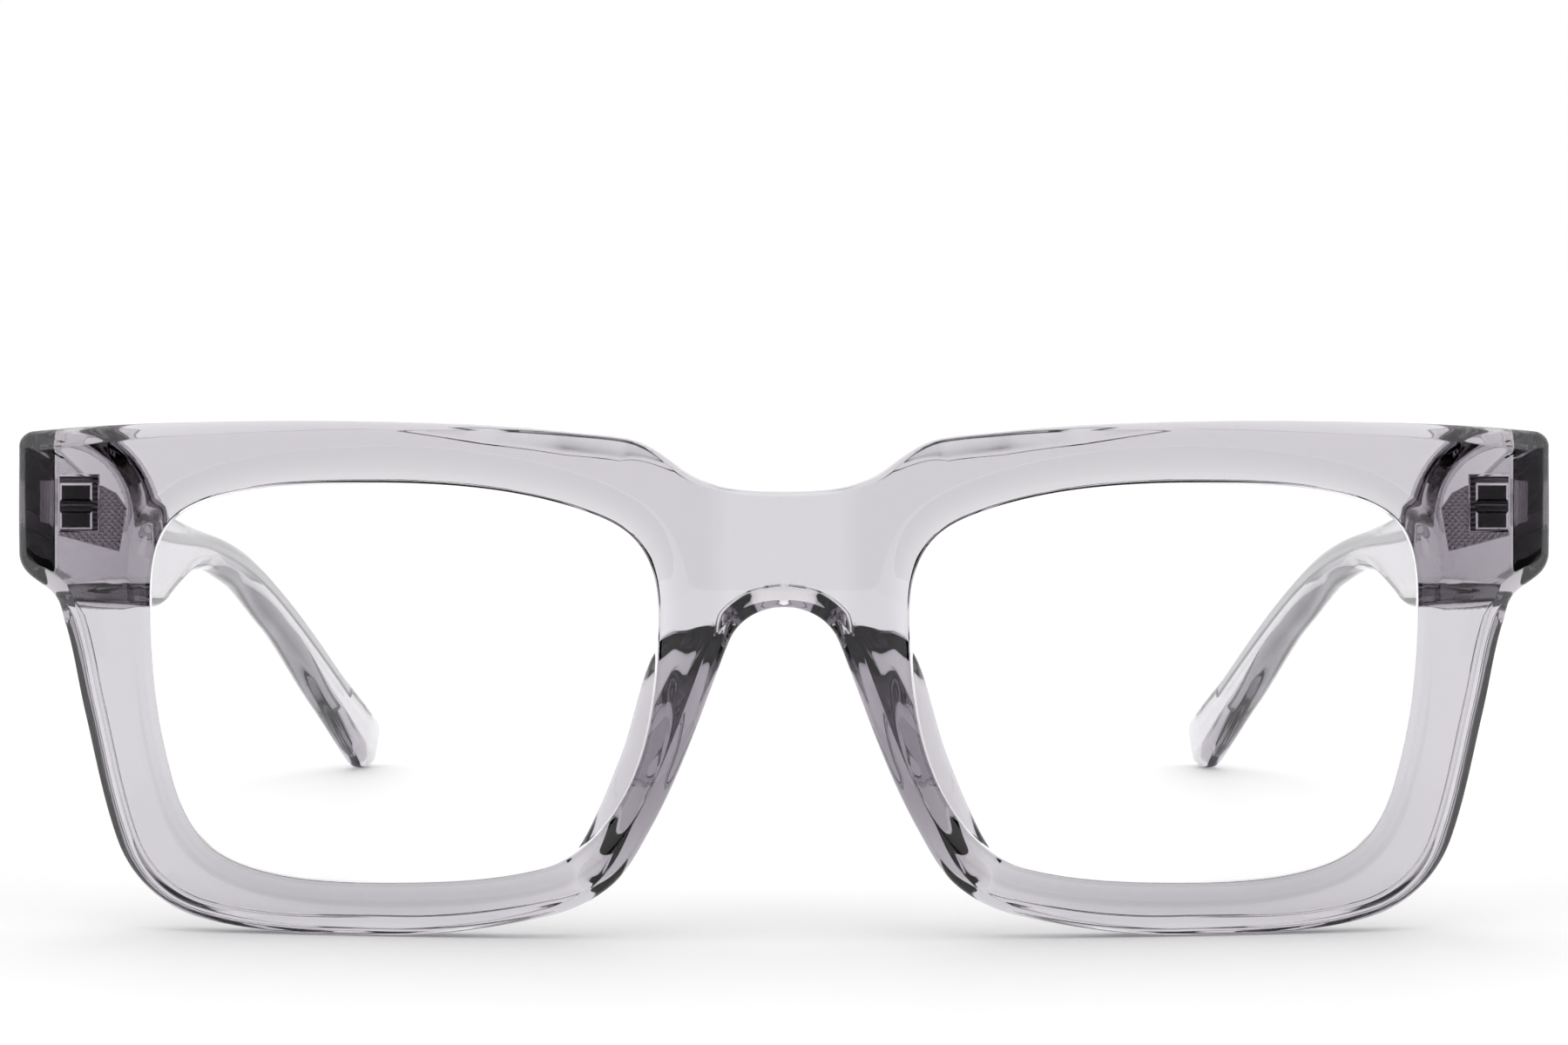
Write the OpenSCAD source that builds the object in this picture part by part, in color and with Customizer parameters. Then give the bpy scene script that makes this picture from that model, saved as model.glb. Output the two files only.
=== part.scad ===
/* Rectangular eyeglasses with a clear crystal-grey frame, fixed nose pads and folding temples.
   Each piece is a solid of its own. Millimetres, standing open on the lower rims and the temple tips.
   X runs across the face, Y runs back from the front, Z is up from the table. */

/* [Lenses] */
// Width of one lens at its widest, edge to edge
lens_w = 50; // [48:0.5:52]
// Height of one lens at its tallest, edge to edge
lens_h = 39.5; // [37.5:0.5:41.5]
// Distance between the two lenses at their nearest
bridge_w = 22; // [20:0.2:24]
// Thickness of a lens
lens_t = 1.8; // [1.6:0.1:2]
// How much more a lens bulges than the front that holds it
lens_bulge = 0.3; // [0.1:0.1:0.6]
// How far the lens edge reaches into the rim
lens_hold = 0.8; // [0.7:0.05:0.9]

/* [Front] */
// How far an end piece reaches beyond its lens opening
end_reach = 12.8; // [12.3:0.1:13.8]
// Width of the rim above a lens
rim_top = 5.8; // [5.2:0.1:6.8]
// Width of the rim below a lens
rim_bottom = 4.95; // [4.45:0.1:5.95]
// Width of the rim beside a lens, towards the temple
rim_side = 6.8; // [6.3:0.1:7.3]
// Thickness of the rims from front to back
rim_t = 4.2; // [3.9:0.1:4.8]
// Radius of the front's bend round the face
face_r = 300; // [260:10:400]
// Radius of the front's bend from top to bottom
brow_r = 260; // [220:10:400]
// Depth of the lens seat behind the front face
seat_d = 2.3; // [2.2:0.1:2.5]
// How far the bridge's lowest middle point is above the eye line
arch_rise = 7.5; // [6:0.1:8.5]
// How far the bridge's top is above the eye line
bridge_rise = 18.25; // [17.45:0.1:19.25]
// Thinning of the bridge at its back
bridge_scoop = 0.8; // [0:0.1:1.2]
// Depth of the end pieces behind the front-most point
end_d = 14.6; // [14:0.1:16]
// Width of the thick block at each end, with the slope beside it
end_w = 12.4; // [12:0.1:12.8]
// Height of the thick block at each end
end_h = 18; // [17:0.5:19]
// Width of the slope beside the thick block
slope_w = 2.2; // [1.8:0.1:3]
// Radius of the slope's foot at the block's upper inner corner
block_r = 6.8; // [5:0.2:7.6]

/* [Nose pads] */
// Depth of the pads behind the rims
pad_d = 7; // [5:0.5:8]
// How far a pad's rounded edge leans out from its foot
pad_lean = 2.4; // [1.6:0.2:3]

/* [Temples] */
// Length of a temple from the end piece to the tip
temple_l = 145; // [138:1:152]
// Thickness of a temple where it meets the end piece
temple_t = 3.6; // [3.4:0.1:3.8]
// Thickness of a temple behind the broad part
ear_t = 3.6; // [3.2:0.1:3.8]
// Height of a temple where it meets the end piece
butt_h = 12.8; // [11.5:0.1:13]
// How far the temple's middle is below the front's top, at the end piece
butt_drop = 8.75; // [8.6:0.05:9]
// Height of the temple's slim neck
neck_h = 4; // [3.6:0.1:4.6]
// Height of the temple's rounded tip
tip_h = 7; // [6:0.1:7.4]
// Length of the broad front part of a temple
broad_l = 44; // [38:1:47]
// Angle that the temples turn in towards the head
toe_in = 6.4; // [5:0.1:7]
// Radius of the temples' bow behind the broad part
bow_r = 900; // [750:50:2000]
// Gap between a temple and its end piece
butt_gap = 0.05; // [0.03:0.01:0.1]

/* [Core wires] */
// Height of the core wire
wire_h = 1.2; // [1:0.1:1.5]
// Thickness of the core wire
wire_t = 1; // [0.8:0.1:1.2]
// How far the core wire stops before the tip
wire_short = 13; // [10:1:18]

/* [Hinges] */
// Radius of the hinge knuckles
knuckle_r = 1.45; // [1.35:0.05:1.5]
// Height of each of the two knuckles on the front
knuckle_h = 1.6; // [1.4:0.1:1.8]
// Height of the knuckle on the temple
middle_h = 1.2; // [1:0.1:1.4]
// Gap between two knuckles
knuckle_gap = 0.05; // [0.04:0.01:0.08]
// Distance of the hinge axis inside the end piece's outer side
hinge_inset = 5.5; // [5.4:0.05:5.7]
// Distance of the hinge axis behind the end piece
hinge_back = 1.6; // [1.6:0.05:1.7]
// How far the hinge's middle is below the front's top
hinge_drop = 8.5; // [8.3:0.05:8.9]
// Thickness of the hinge plate on the front
plate_t = 1; // [0.8:0.1:1.2]
// Length of the hinge base on the temple
base_l = 6.6; // [6:0.2:8]
// Depth of the hinge feet in the acetate
foot_d = 1.6; // [1.2:0.1:1.8]
// Width of the hinge feet in the front
foot_w = 2.9; // [2.4:0.1:2.9]
// Height of the raised field that carries the feet
field_d = 0.5; // [0.3:0.1:0.7]
// How far the hinge base stands out of the temple's inner side
base_proud = 0.5; // [0.4:0.1:0.6]
// Thickness of the hinge base on the temple
base_t = 1.4; // [1.2:0.1:1.5]
// Depth of the ridged foot under the temple's hinge base
ridge_d = 1.1; // [0.8:0.1:1.2]
// Radius of the screw's shaft
screw_r = 0.6; // [0.5:0.05:0.65]
// Radius of the screw's head
screw_head_r = 1.1; // [1:0.05:1.2]
// Height of the screw's head
screw_head_h = 0.5; // [0.4:0.1:0.7]
// Clearance round metal pieces set in acetate
fit_gap = 0.05; // [0.03:0.01:0.08]

/* [Hidden] */
opening_w = lens_w - 2 * lens_hold;
opening_h = lens_h - 2 * lens_hold;
eye_x = (lens_w + bridge_w) / 2;
eye_z = rim_bottom + opening_h / 2;
front_h = rim_bottom + opening_h + rim_top;
nose_x = eye_x - opening_w / 2;
side_x = eye_x + opening_w / 2;
top_z = eye_z + opening_h / 2;
end_x = side_x + end_reach;
groove_d = lens_hold + 0.1;
groove_half = lens_t / 2 - 0.1;
bevel_slope = 0.95;
hinge_x = end_x - hinge_inset;
hinge_y = end_d + hinge_back;
hinge_z = front_h - hinge_drop;
butt_z = front_h - butt_drop;
hinge_half = knuckle_h + knuckle_gap + middle_h / 2;
acetate = [0.72, 0.7, 0.75, 0.55];
clear = [0.9, 0.93, 0.95, 0.25];
steel = [0.62, 0.61, 0.6];

// Curves: a path node is [across, up, heading in degrees, further values that blend along the path].
function mix(a, b, t) = a + (b - a) * t;
function ease(t) = let (c = min(1, max(0, t))) c * c * (3 - 2 * c);
function aim(a) = [cos(a), sin(a)];
function spot(n) = [n[0], n[1]];
function count(p, q, reach, turn) =
    ceil(max(norm(spot(q) - spot(p)) / reach, abs(q[2] - p[2]) / turn));

// One stretch between two nodes: a cubic curve whose handles make it follow an arc.
function stretch(p, q, steps) =
    let (a = spot(p), d = spot(q))
    let (handle = norm(d - a) / (3 * pow(cos((q[2] - p[2]) / 4), 2)))
    let (b = a + handle * aim(p[2]), c = d - handle * aim(q[2]))
    [for (i = [0:steps - 1])
        let (t = i / steps, s = 1 - t)
        let (at = s * s * s * a + 3 * s * s * t * b + 3 * s * t * t * c + t * t * t * d)
        let (go = s * s * (b - a) + 2 * s * t * (c - b) + t * t * (d - c))
        let (from = aim(p[2]))
        let (bend = atan2(from[0] * go[1] - from[1] * go[0], from * go))
        concat([at[0], at[1], p[2] + bend], [for (k = [3:1:len(p) - 1]) mix(p[k], q[k], t)])];
function path(nodes, reach, turn) = concat(
    [for (i = [0:len(nodes) - 2])
        each stretch(nodes[i], nodes[i + 1], count(nodes[i], nodes[i + 1], reach, turn))],
    [nodes[len(nodes) - 1]]);

// Lens opening, clockwise from the middle of its top: x, z, heading, width of the sloped band round it.
opening_nodes = [
    [eye_x + 2.3, top_z, 0, 3],
    [side_x - 7.4, top_z - 1.1, -13, 2.4],
    [side_x - 3.1, top_z - 2.8, -33, 2],
    [side_x, eye_z + 7.5, -90, 1.45],
    [side_x - 1.5, eye_z - 7.3, -103.5, 1.4],
    [side_x - 4.8, rim_bottom + 3.9, -132, 1.4],
    [side_x - 11.4, rim_bottom + 0.7, -168, 1.5],
    [eye_x + 1, rim_bottom, -181, 1.6],
    [eye_x - 13.3, rim_bottom + 1.55, -195, 1.6],
    [nose_x + 4.5, rim_bottom + 6.5, -234, 1.7],
    [nose_x + 1.3, eye_z - 5.5, -255, 2],
    [nose_x, eye_z + 6.7, -270, 2.2],
    [nose_x + 1.8, top_z - 5.7, -307, 2.6],
    [nose_x + 7.4, top_z - 2.4, -342, 2.8],
    [eye_x + 2.3, top_z, -360, 3]];

// Outer outline of one half of the front, clockwise from the top of the bridge to the top of the nose arch.
// Bevel and inset are the widths of the bevels before and behind; steep is the rear one's depth over its width.
// At a tight corner, skew turns the front bevel's edge towards one common point.
function edge_node(x, z, heading, bevel, inset, skew = 0, steep = 1) =
    let (into = aim(heading - 90 + skew))
    [x, z, heading, bevel * into[0], bevel * into[1], bevel, inset, steep * inset];
half_nodes = [
    edge_node(0, eye_z + bridge_rise, 0, 0.5, 0.6),
    edge_node(9.75, front_h - 4.3, 38, 0.5, 0.7),
    edge_node(14.8, front_h - 1.5, 10, 0.5, 2.2),
    edge_node(20.3, front_h - 0.9, 6, 0.45, 2.2),
    edge_node(28.1, front_h - 0.35, 3.1, 0.5, 1.7, steep = 0.3),
    edge_node(eye_x + 0.7, front_h - 0.05, 1.3, 0.6, 0.75),
    edge_node(end_x - 15, front_h - 0.25, -1.9, 1.2, 1.35),
    edge_node(end_x - 1.2, front_h - 1.2, -6, 1.9, 1.1, -15),
    edge_node(end_x, front_h - 2.5, -90, 1.9, 0.4, 22),
    edge_node(end_x, front_h - 12.9, -91.1, 1.8, 0.4, -8),
    edge_node(end_x - 1.1, front_h - 15.05, -141, 1.8, 0.6, 12),
    edge_node(side_x + 9.5, front_h - 16.7, -131, 1.9, 1.2),
    edge_node(side_x + 8.35, eye_z + 5.45, -108, 1.8, 2),
    edge_node(side_x + rim_side - 0.3, eye_z - 2.85, -103, 1.8, 2),
    edge_node(side_x + 3.45, rim_bottom + 3.65, -109, 1.7, 1.95),
    edge_node(side_x - 4.5, 1.25, -165, 1.2, 1.6),
    edge_node(eye_x + 1.7, 0, -180, 0.9, 1.6, steep = 0.5),
    edge_node(nose_x + 9.8, 2.2, -195, 0.9, 1.2),
    edge_node(nose_x + 4.65, rim_bottom - 0.15, -219, 0.9, 1),
    edge_node(nose_x + 0.85, eye_z - 13.7, -241, 1, 1.2),
    edge_node(5.6, eye_z + 3.1, -249, 1, 1.6),
    edge_node(4.35, eye_z + 5.6, -231, 0.9, 1.8),
    edge_node(0, eye_z + arch_rise, -180, 0.8, 2)];

// Surfaces of the front: its bent front face, and its back, which steps out to a flat behind the end pieces.
function face_y(x, z) = x * x / (2 * face_r) + pow(z - eye_z, 2) / (2 * brow_r);
function end_blend(x, z) =
    let (across = abs(x) - end_x + end_w, below = front_h - z)
    let (inside = across < block_r && below < block_r
        ? block_r - norm([block_r - across, block_r - below]) : min(across, below))
    ease(inside / slope_w) * ease((z - front_h + end_h) / 2.6);
function back_y(x, z) = mix(
    face_y(x, z) + rim_t - bridge_scoop * ease((7.5 - abs(x)) / 3), end_d, end_blend(x, z));

// Angles round the lens centre run from the first node of the opening, clockwise.
function turn_of(p) = atan2(p[1] - eye_z, p[0] - eye_x);
first_turn = turn_of(opening_nodes[0]);
function unwind(a) = a > first_turn + 0.01 ? a - 360 : a;
fine_opening = path(opening_nodes, 2, 4);
last_fine = len(fine_opening) - 1;
function opening_table(k) = [for (i = [0:last_fine])
    [i == last_fine ? first_turn - 360 : unwind(turn_of(fine_opening[i])), fine_opening[i][k]]];
opening_tables = [opening_table(0), opening_table(1), opening_table(2), opening_table(3)];
// The opening's node at an angle: x, z, heading, band width.
function opening_at(a) = [for (table = opening_tables) lookup(a, table)];

// Stations: points of the outer outline, then points up the middle of the bridge.
half_outline = path(half_nodes, 6.5, 13);
outline_n = len(half_outline);
seam_n = 4;
seam_low = half_outline[outline_n - 1][1];
seam_high = half_outline[0][1];
seam = [for (i = [1:seam_n - 1]) [0, mix(seam_low, seam_high, i / seam_n)]];
stations = concat(half_outline, seam);
station_n = len(stations);
// Near the top of the nose arch the rays are spread a little, so that they stay in order.
function ray(s) = unwind(turn_of(s))
    - (s[1] < seam_high - 0.01 && s[1] > eye_z && s[0] < 6 ? 1.5 * pow(1 - s[0] / 6, 2) : 0);
openings = [for (s = stations) opening_at(ray(s))];

function at_face(p, deep) = [p[0], face_y(p[0], p[1]) + deep, p[1]];
function at_back(p, deep) = [p[0], back_y(p[0], p[1]) - deep, p[1]];
// Share of the way across the back at which the end piece starts and ends its step.
function step_share(a, b, x, spare) =
    b[0] > end_x - end_w + 1 ? min(0.85, max(0.15, (x - a[0]) / (b[0] - a[0]))) : spare;

// Section of the front at one station, from the lens opening over the front face and back round.
function front_section(i) =
    let (s = stations[i], o = openings[i])
    let (on_seam = i >= outline_n)
    let (into = on_seam ? [0, 0] : aim(s[2] - 90), away = aim(o[2] + 90))
    let (bevel = on_seam ? [0, 0] : [s[3], s[4]], bevel_w = on_seam ? 0 : s[5])
    let (inset = on_seam ? 0 : s[6], rear_depth = on_seam ? 0 : s[7])
    let (edge = spot(s), lip = spot(o))
    let (rear_out = edge + inset * into, rear_in = lip + 0.5 * away)
    let (rear_y = back_y(rear_out[0], rear_out[1]))
    let (near = step_share(rear_in, rear_out, end_x - end_w, 0.33))
    let (far = step_share(rear_in, rear_out, end_x - end_w + slope_w, 0.67))
    [
        at_face(lip + o[3] * away, 0),
        at_face(edge + bevel, 0),
        at_face(edge, bevel_slope * bevel_w),
        [edge[0], rear_y - rear_depth, edge[1]],
        at_back(rear_out, 0),
        at_back(mix(rear_in, rear_out, max(far, near + 0.1)), 0),
        at_back(mix(rear_in, rear_out, near), 0),
        at_back(rear_in, 0),
        at_face(lip, rim_t - 0.4),
        at_face(lip, seat_d + groove_half),
        at_face(lip + groove_d * away, seat_d),
        at_face(lip, seat_d - groove_half)
    ];
section_n = 12;

module half_and_mirror(points) {
    n = station_n * section_n;
    mirrored = [for (p = points) [-p[0], p[1], p[2]]];
    faces = [for (i = [0:station_n - 1], k = [0:section_n - 1])
        let (j = (i + 1) % station_n, m = (k + 1) % section_n)
        let (open = (i >= outline_n - 1) && k >= 1 && k <= 3)
        if (!open)
            each [[i * section_n + k, i * section_n + m, j * section_n + m],
                [i * section_n + k, j * section_n + m, j * section_n + k]]];
    back_faces = [for (f = faces) [f[2] + n, f[1] + n, f[0] + n]];
    polyhedron(points = concat(points, mirrored), faces = concat(faces, back_faces), convexity = 10);
}

// Places a piece of the wearer's left side, or its mirror image on the right.
module sided(side) {
    if (side > 0) children();
    else mirror([1, 0, 0]) children();
}

module moved() {
    translate([0, -middle_y, 0]) children();
}

module front() {
    color(acetate) moved() difference() {
        half_and_mirror([for (i = [0:station_n - 1]) each front_section(i)]);
        for (side = [1, -1]) sided(side) front_hinge_base(fit_gap);
    }
}

// Lens: rings of points from its edge to its middle on both faces, with a pointed edge in the rim's groove.
lens_rings = [1, 0.7, 0.35];
function lens_spot(i, out) = spot(openings[i]) + out * aim(openings[i][2] + 90);
function lens_ring(share, deep) = [for (i = [0:station_n - 1])
    let (p = mix([eye_x, eye_z], lens_spot(i, -0.15), share))
    at_face(p, seat_d + deep - lens_bulge * (1 - share * share))];
lens_points = concat(
    [at_face([eye_x, eye_z], seat_d - lens_t / 2 - lens_bulge)],
    lens_ring(lens_rings[2], -lens_t / 2),
    lens_ring(lens_rings[1], -lens_t / 2),
    lens_ring(lens_rings[0], -lens_t / 2),
    [for (i = [0:station_n - 1]) at_face(lens_spot(i, lens_hold), seat_d)],
    lens_ring(lens_rings[0], lens_t / 2),
    lens_ring(lens_rings[1], lens_t / 2),
    lens_ring(lens_rings[2], lens_t / 2),
    [at_face([eye_x, eye_z], seat_d + lens_t / 2 - lens_bulge)]);

// Closed skin over rings of equal length; each end is closed by one middle point.
module ringed(points, ring_n, rings) {
    last = len(points) - 1;
    polyhedron(points = points, convexity = 4, faces = concat(
        [for (i = [0:ring_n - 1]) [0, 1 + i, 1 + (i + 1) % ring_n]],
        [for (r = [0:rings - 2], i = [0:ring_n - 1])
            let (a = 1 + r * ring_n + i, b = 1 + r * ring_n + (i + 1) % ring_n)
            each [[a, a + ring_n, b + ring_n], [a, b + ring_n, b]]],
        [for (i = [0:ring_n - 1])
            [last, 1 + (rings - 1) * ring_n + (i + 1) % ring_n, 1 + (rings - 1) * ring_n + i]]));
}

module lens(side) {
    color(clear) moved() sided(side) ringed(lens_points, station_n, 7);
}

// Nose pad: stations along the nose cut, each a rounded fin on the back of the rim.
// A fin's row is [share of the foot's width, share of the lean, share of the depth].
pad_rows = [[0, 0, 0], [0.05, 0.08, 0.35], [0.15, 0.22, 0.7], [0.3, 0.4, 0.92], [0.55, 0.62, 1],
    [0.8, 0.84, 0.96], [1, 1, 0.8], [1, 1.05, 0.6], [1, 0.92, 0.38], [1, 0.5, 0.2], [1, 0.12, 0.06], [1, 0, 0]];
pad_from = -140;
pad_to = -189.5;
pad_n = 14;
nose_tables = [for (k = [0, 1, 2, 6]) [for (i = [0:outline_n - 1])
    if (half_outline[i][0] < eye_x && half_outline[i][1] < eye_z + arch_rise + 1)
        [unwind(turn_of(half_outline[i])), half_outline[i][k]]]];
function nose_at(a) = [for (table = nose_tables) lookup(a, table)];
function pad_section(i) =
    let (share = (i + 0.35) / (pad_n - 0.3), a = mix(pad_from, pad_to, share))
    let (grown = pow(1 - pow(abs(2 * share - 1), 3), 0.5))
    let (s = nose_at(a), o = opening_at(a))
    let (foot_in = spot(s) + (s[3] + 0.1) * aim(s[2] - 90), foot_out = spot(o) + 0.65 * aim(o[2] + 90))
    let (across = (foot_out - foot_in) / norm(foot_out - foot_in))
    [for (row = pad_rows)
        let (foot = mix(foot_in, foot_out, row[0]))
        let (p = foot + across * row[1] * pad_lean * grown)
        let (y = back_y(foot[0], foot[1]) + fit_gap + pad_d * grown * row[2])
        [p[0], y, p[1]]];

// Closed skin over a row of sections of equal length; the two end sections are closed by fans.
module skinned(points, loop_n, loops) {
    polyhedron(points = points, convexity = 6, faces = concat(
        [for (k = [1:loop_n - 2]) [0, k + 1, k]],
        [for (i = [0:loops - 2], k = [0:loop_n - 1])
            let (a = i * loop_n + k, b = i * loop_n + (k + 1) % loop_n)
            each [[a, b, b + loop_n], [a, b + loop_n, a + loop_n]]],
        [for (k = [1:loop_n - 2])
            let (base = (loops - 1) * loop_n) [base, base + k, base + k + 1]]));
}

module nose_pad(side) {
    color(acetate) moved() sided(side)
        skinned([for (i = [0:pad_n - 1]) each pad_section(i)], len(pad_rows), pad_n);
}

// Temple seen from the side, in its own frame: along from the end piece, up from its middle line.
// Its slope is the one that brings the tip down to the table.
tip_along = temple_l - 10.1;
tip_up = -13.7;
slope = atan2(tip_up, tip_along)
    - asin((tip_h / 2 - butt_z) / norm([tip_along, tip_up]));
function side_node(along, up, heading) = [
    end_d + butt_gap + along * cos(slope) + up * sin(slope),
    butt_z - along * sin(slope) + up * cos(slope),
    heading - slope];
function side_pair(along, up, high, heading) = [
    side_node(along + high / 2 * sin(-heading), up + high / 2 * cos(heading), heading),
    side_node(along - high / 2 * sin(-heading), up - high / 2 * cos(heading), heading)];
butt_top = [end_d + butt_gap, butt_z + butt_h / 2, -2 - slope];
butt_low = [end_d + butt_gap, butt_z - butt_h / 2, 0.5 - slope];
ear_pairs = [
    side_pair(temple_l - 79, 2.55, neck_h, 1),
    side_pair(temple_l - 67.3, 2.05, neck_h + 0.3, -5),
    side_pair(temple_l - 50, -1.25, neck_h + 0.9, -12.5),
    side_pair(temple_l - 26.4, -8.4, tip_h - 1, -17.7),
    side_pair(tip_along, tip_up, tip_h, -18.4)];
top_nodes = concat(
    [butt_top, side_node(broad_l - 4.4, 4.7, -1.4), side_node(broad_l - 0.3, 4.6, -1),
        side_node(broad_l + 5.8, 4.5, -0.5), side_node(broad_l + 15, 4.45, 0.3)],
    [for (pair = ear_pairs) pair[0]]);
low_nodes = concat(
    [butt_low, side_node(broad_l - 2.5, -5.75, 6), side_node(broad_l + 1.4, -4.85, 23),
        side_node(broad_l + 7.1, -2.6, 21), side_node(broad_l + 15, -0.25, 9)],
    [for (pair = ear_pairs) pair[1]]);
pair_steps = [6, 2, 2, 3, 3, 2, 3, 4, 3];
top_edge = concat([for (i = [0:8]) each stretch(top_nodes[i], top_nodes[i + 1], pair_steps[i])],
    [top_nodes[9]]);
low_edge = concat([for (i = [0:8]) each stretch(low_nodes[i], low_nodes[i + 1], pair_steps[i])],
    [low_nodes[9]]);
edge_n = len(top_edge);
tip_mid = (spot(top_edge[edge_n - 1]) + spot(low_edge[edge_n - 1])) / 2;
tip_heading = top_edge[edge_n - 1][2];
tip_turns = [22, 44, 64, 80];

// Middle of the temple's thickness at a depth: straight along the broad part, then bowed inwards.
bow_start = end_d + broad_l;
function thick_at(y) = mix(temple_t, ear_t, ease((y - end_d) / (broad_l + 20)));
function middle_x(y) = end_x - thick_at(y) / 2 - (y - end_d) * tan(toe_in)
    - pow(max(0, y - bow_start), 2) / (2 * bow_r);

// Rounded section between a low and a high point, as a loop of 16 points.
function loop_between(low, high, thick, round_r) =
    let (mid = (low + high) / 2, up = (high - low) / 2, h = norm(up), e = up / h)
    let (w = thick / 2, r = min(round_r, w, h))
    [for (corner = [0:3], a = [0:30:90])
        let (turn = corner * 90 + a)
        let (sx = corner == 0 || corner == 3 ? 1 : -1, sz = corner < 2 ? 1 : -1)
        let (across = sx * (w - r) + r * cos(turn), along = sz * (h - r) + r * sin(turn))
        let (y = mid[0] + along * e[0])
        [middle_x(y) + across, y, mid[1] + along * e[1]]];
function temple_loop(i) =
    let (low = spot(low_edge[i]), high = spot(top_edge[i]))
    let (along = (low[0] + high[0]) / 2)
    loop_between(low, high, thick_at(along), mix(0.8, ear_t / 2, ease((along - end_d) / 75)));
function tip_loop(turn) =
    let (go = aim(tip_heading), up = aim(tip_heading + 90))
    let (far = tip_mid + tip_h / 2 * sin(turn) * go, half = tip_h / 2 * cos(turn) * up)
    loop_between(far - half, far + half, ear_t * pow(cos(turn), 0.8), ear_t);
temple_points = concat(
    [for (i = [0:edge_n - 1]) each temple_loop(i)],
    [for (turn = tip_turns) each tip_loop(turn)]);

// Total depth, from the front-most point of the front to the rear-most point of a tip.
middle_y = (min([for (i = [0:station_n - 1], p = front_section(i)) p[1]])
    + max([for (p = temple_points) p[1]])) / 2;

// Core wire: follows the temple's middle line from the hinge base to near the tip.
wire_y = hinge_y + knuckle_r + 0.45 + base_l;
wire_nodes = [
    [wire_y + 0.02, hinge_z - 0.9, -slope],
    side_node(broad_l - 4, 1.9, 0.5),
    side_node(temple_l - 79, 3.1, 0),
    side_node(temple_l - 50, -0.1, -12.5),
    side_node(tip_along + tip_h / 2 - wire_short, -8.6, -17.7)];
wire_path = path(wire_nodes, 8, 6);
function wire_loop(n, grow, shift) =
    let (mid = spot(n) + shift * aim(n[2]), up = (wire_h / 2 + grow) * aim(n[2] + 90))
    [for (c = [[1, 0.5], [0.6, 1], [-0.6, 1], [-1, 0.5], [-1, -0.5], [-0.6, -1], [0.6, -1], [1, -0.5]])
        let (p = mid + c[1] * up)
        [middle_x(p[0]) + c[0] * (wire_t / 2 + grow), p[0], p[1]]];
module wire(grow) {
    last = len(wire_path) - 1;
    skinned([for (i = [0:last]) each
        wire_loop(wire_path[i], grow, i == 0 ? -grow : i == last ? grow : 0)], 8, last + 1);
}

module core_wire(side) {
    color(steel) moved() sided(side) wire(0);
}

// Hinge pieces of the wearer's left side. The front's pieces point back from the end piece.
module upright(r, low, high) {
    translate([hinge_x, hinge_y, low]) cylinder(h = high - low, r = r, $fn = 48);
}

// Outline of the knurled plate, seen from the front; grow moves its edges outwards.
function plate_shape(grow) = [
    [hinge_x + 1.5 + grow, hinge_z + 2.25 + grow],
    [hinge_x - 2.4 - grow / 2, hinge_z + 2.25 + grow],
    [hinge_x - 4.3 - grow, hinge_z + 0.2 + grow / 2],
    [hinge_x - 3.8 - grow, hinge_z - 4.2 - 1.3 * grow],
    [hinge_x + 1.5 + grow, hinge_z - 2.8 - 1.1 * grow]];
foot_levels = [hinge_z - hinge_half, hinge_z + hinge_half - knuckle_h];

// What the front's hinge sets into the acetate; grow widens it for the pocket.
module front_hinge_base(grow) {
    translate([0, end_d + grow, 0]) rotate([90, 0, 0])
        linear_extrude(plate_t + 2 * grow) polygon(plate_shape(grow));
    translate([hinge_x - foot_w / 2 - 0.4 - grow, end_d - plate_t - field_d - grow, hinge_z - 2.6 - grow])
        cube([foot_w + 0.35 + 2 * grow, plate_t + field_d, 5.4 + 2 * grow]);
    for (low = foot_levels)
        translate([hinge_x - foot_w / 2 - grow, end_d - plate_t - foot_d - grow, low - grow])
            cube([foot_w + 2 * grow, foot_d + plate_t, knuckle_h + 2 * grow]);
}

module front_hinge(side) {
    color(steel) moved() sided(side) difference() {
        union() {
            front_hinge_base(0);
            for (low = foot_levels) {
                upright(knuckle_r, low, low + knuckle_h);
                translate([hinge_x - knuckle_r, end_d - 0.1, low])
                    cube([2 * knuckle_r, hinge_back + 0.1, knuckle_h]);
            }
        }
        upright(screw_r + 0.02, 0, hinge_z + 10);
    }
}

module hinge_screw(side) {
    low = hinge_z - hinge_half;
    high = hinge_z + hinge_half;
    color(steel) moved() sided(side) difference() {
        union() {
            upright(screw_r, low - 0.5, high + 0.1);
            upright(screw_head_r, high + 0.02, high + 0.02 + screw_head_h);
        }
        translate([hinge_x - 2, hinge_y - 0.15, high + screw_head_h - 0.23]) cube([4, 0.3, 1]);
    }
}

// What the temple's hinge sets into the acetate: a base along the inner side and a ridged foot.
base_y = hinge_y + knuckle_r + 0.45;
base_x = middle_x(base_y) - temple_t / 2 - base_proud;
module temple_hinge_base(grow) {
    translate([base_x, base_y - grow, hinge_z - hinge_half - grow])
        cube([base_t + grow, base_l + 2 * grow, 2 * hinge_half + 2 * grow]);
    for (i = [0:3])
        translate([base_x + base_t - 0.1, base_y + 0.4 + i - grow, hinge_z - hinge_half + 0.3 - grow])
            cube([0.1 + ridge_d * (1 + i) / 4 + grow, 0.6 + 2 * grow, 2 * hinge_half - 0.6 + 2 * grow]);
}

module temple_hinge(side) {
    low = hinge_z - middle_h / 2;
    color(steel) moved() sided(side) difference() {
        union() {
            temple_hinge_base(0);
            upright(knuckle_r, low, low + middle_h);
            translate([hinge_x - 0.2, hinge_y, low])
                cube([base_x + 0.45 - hinge_x + 0.2, base_y - hinge_y + 3, middle_h]);
        }
        upright(screw_r + 0.04, 0, hinge_z + 10);
    }
}

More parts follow.
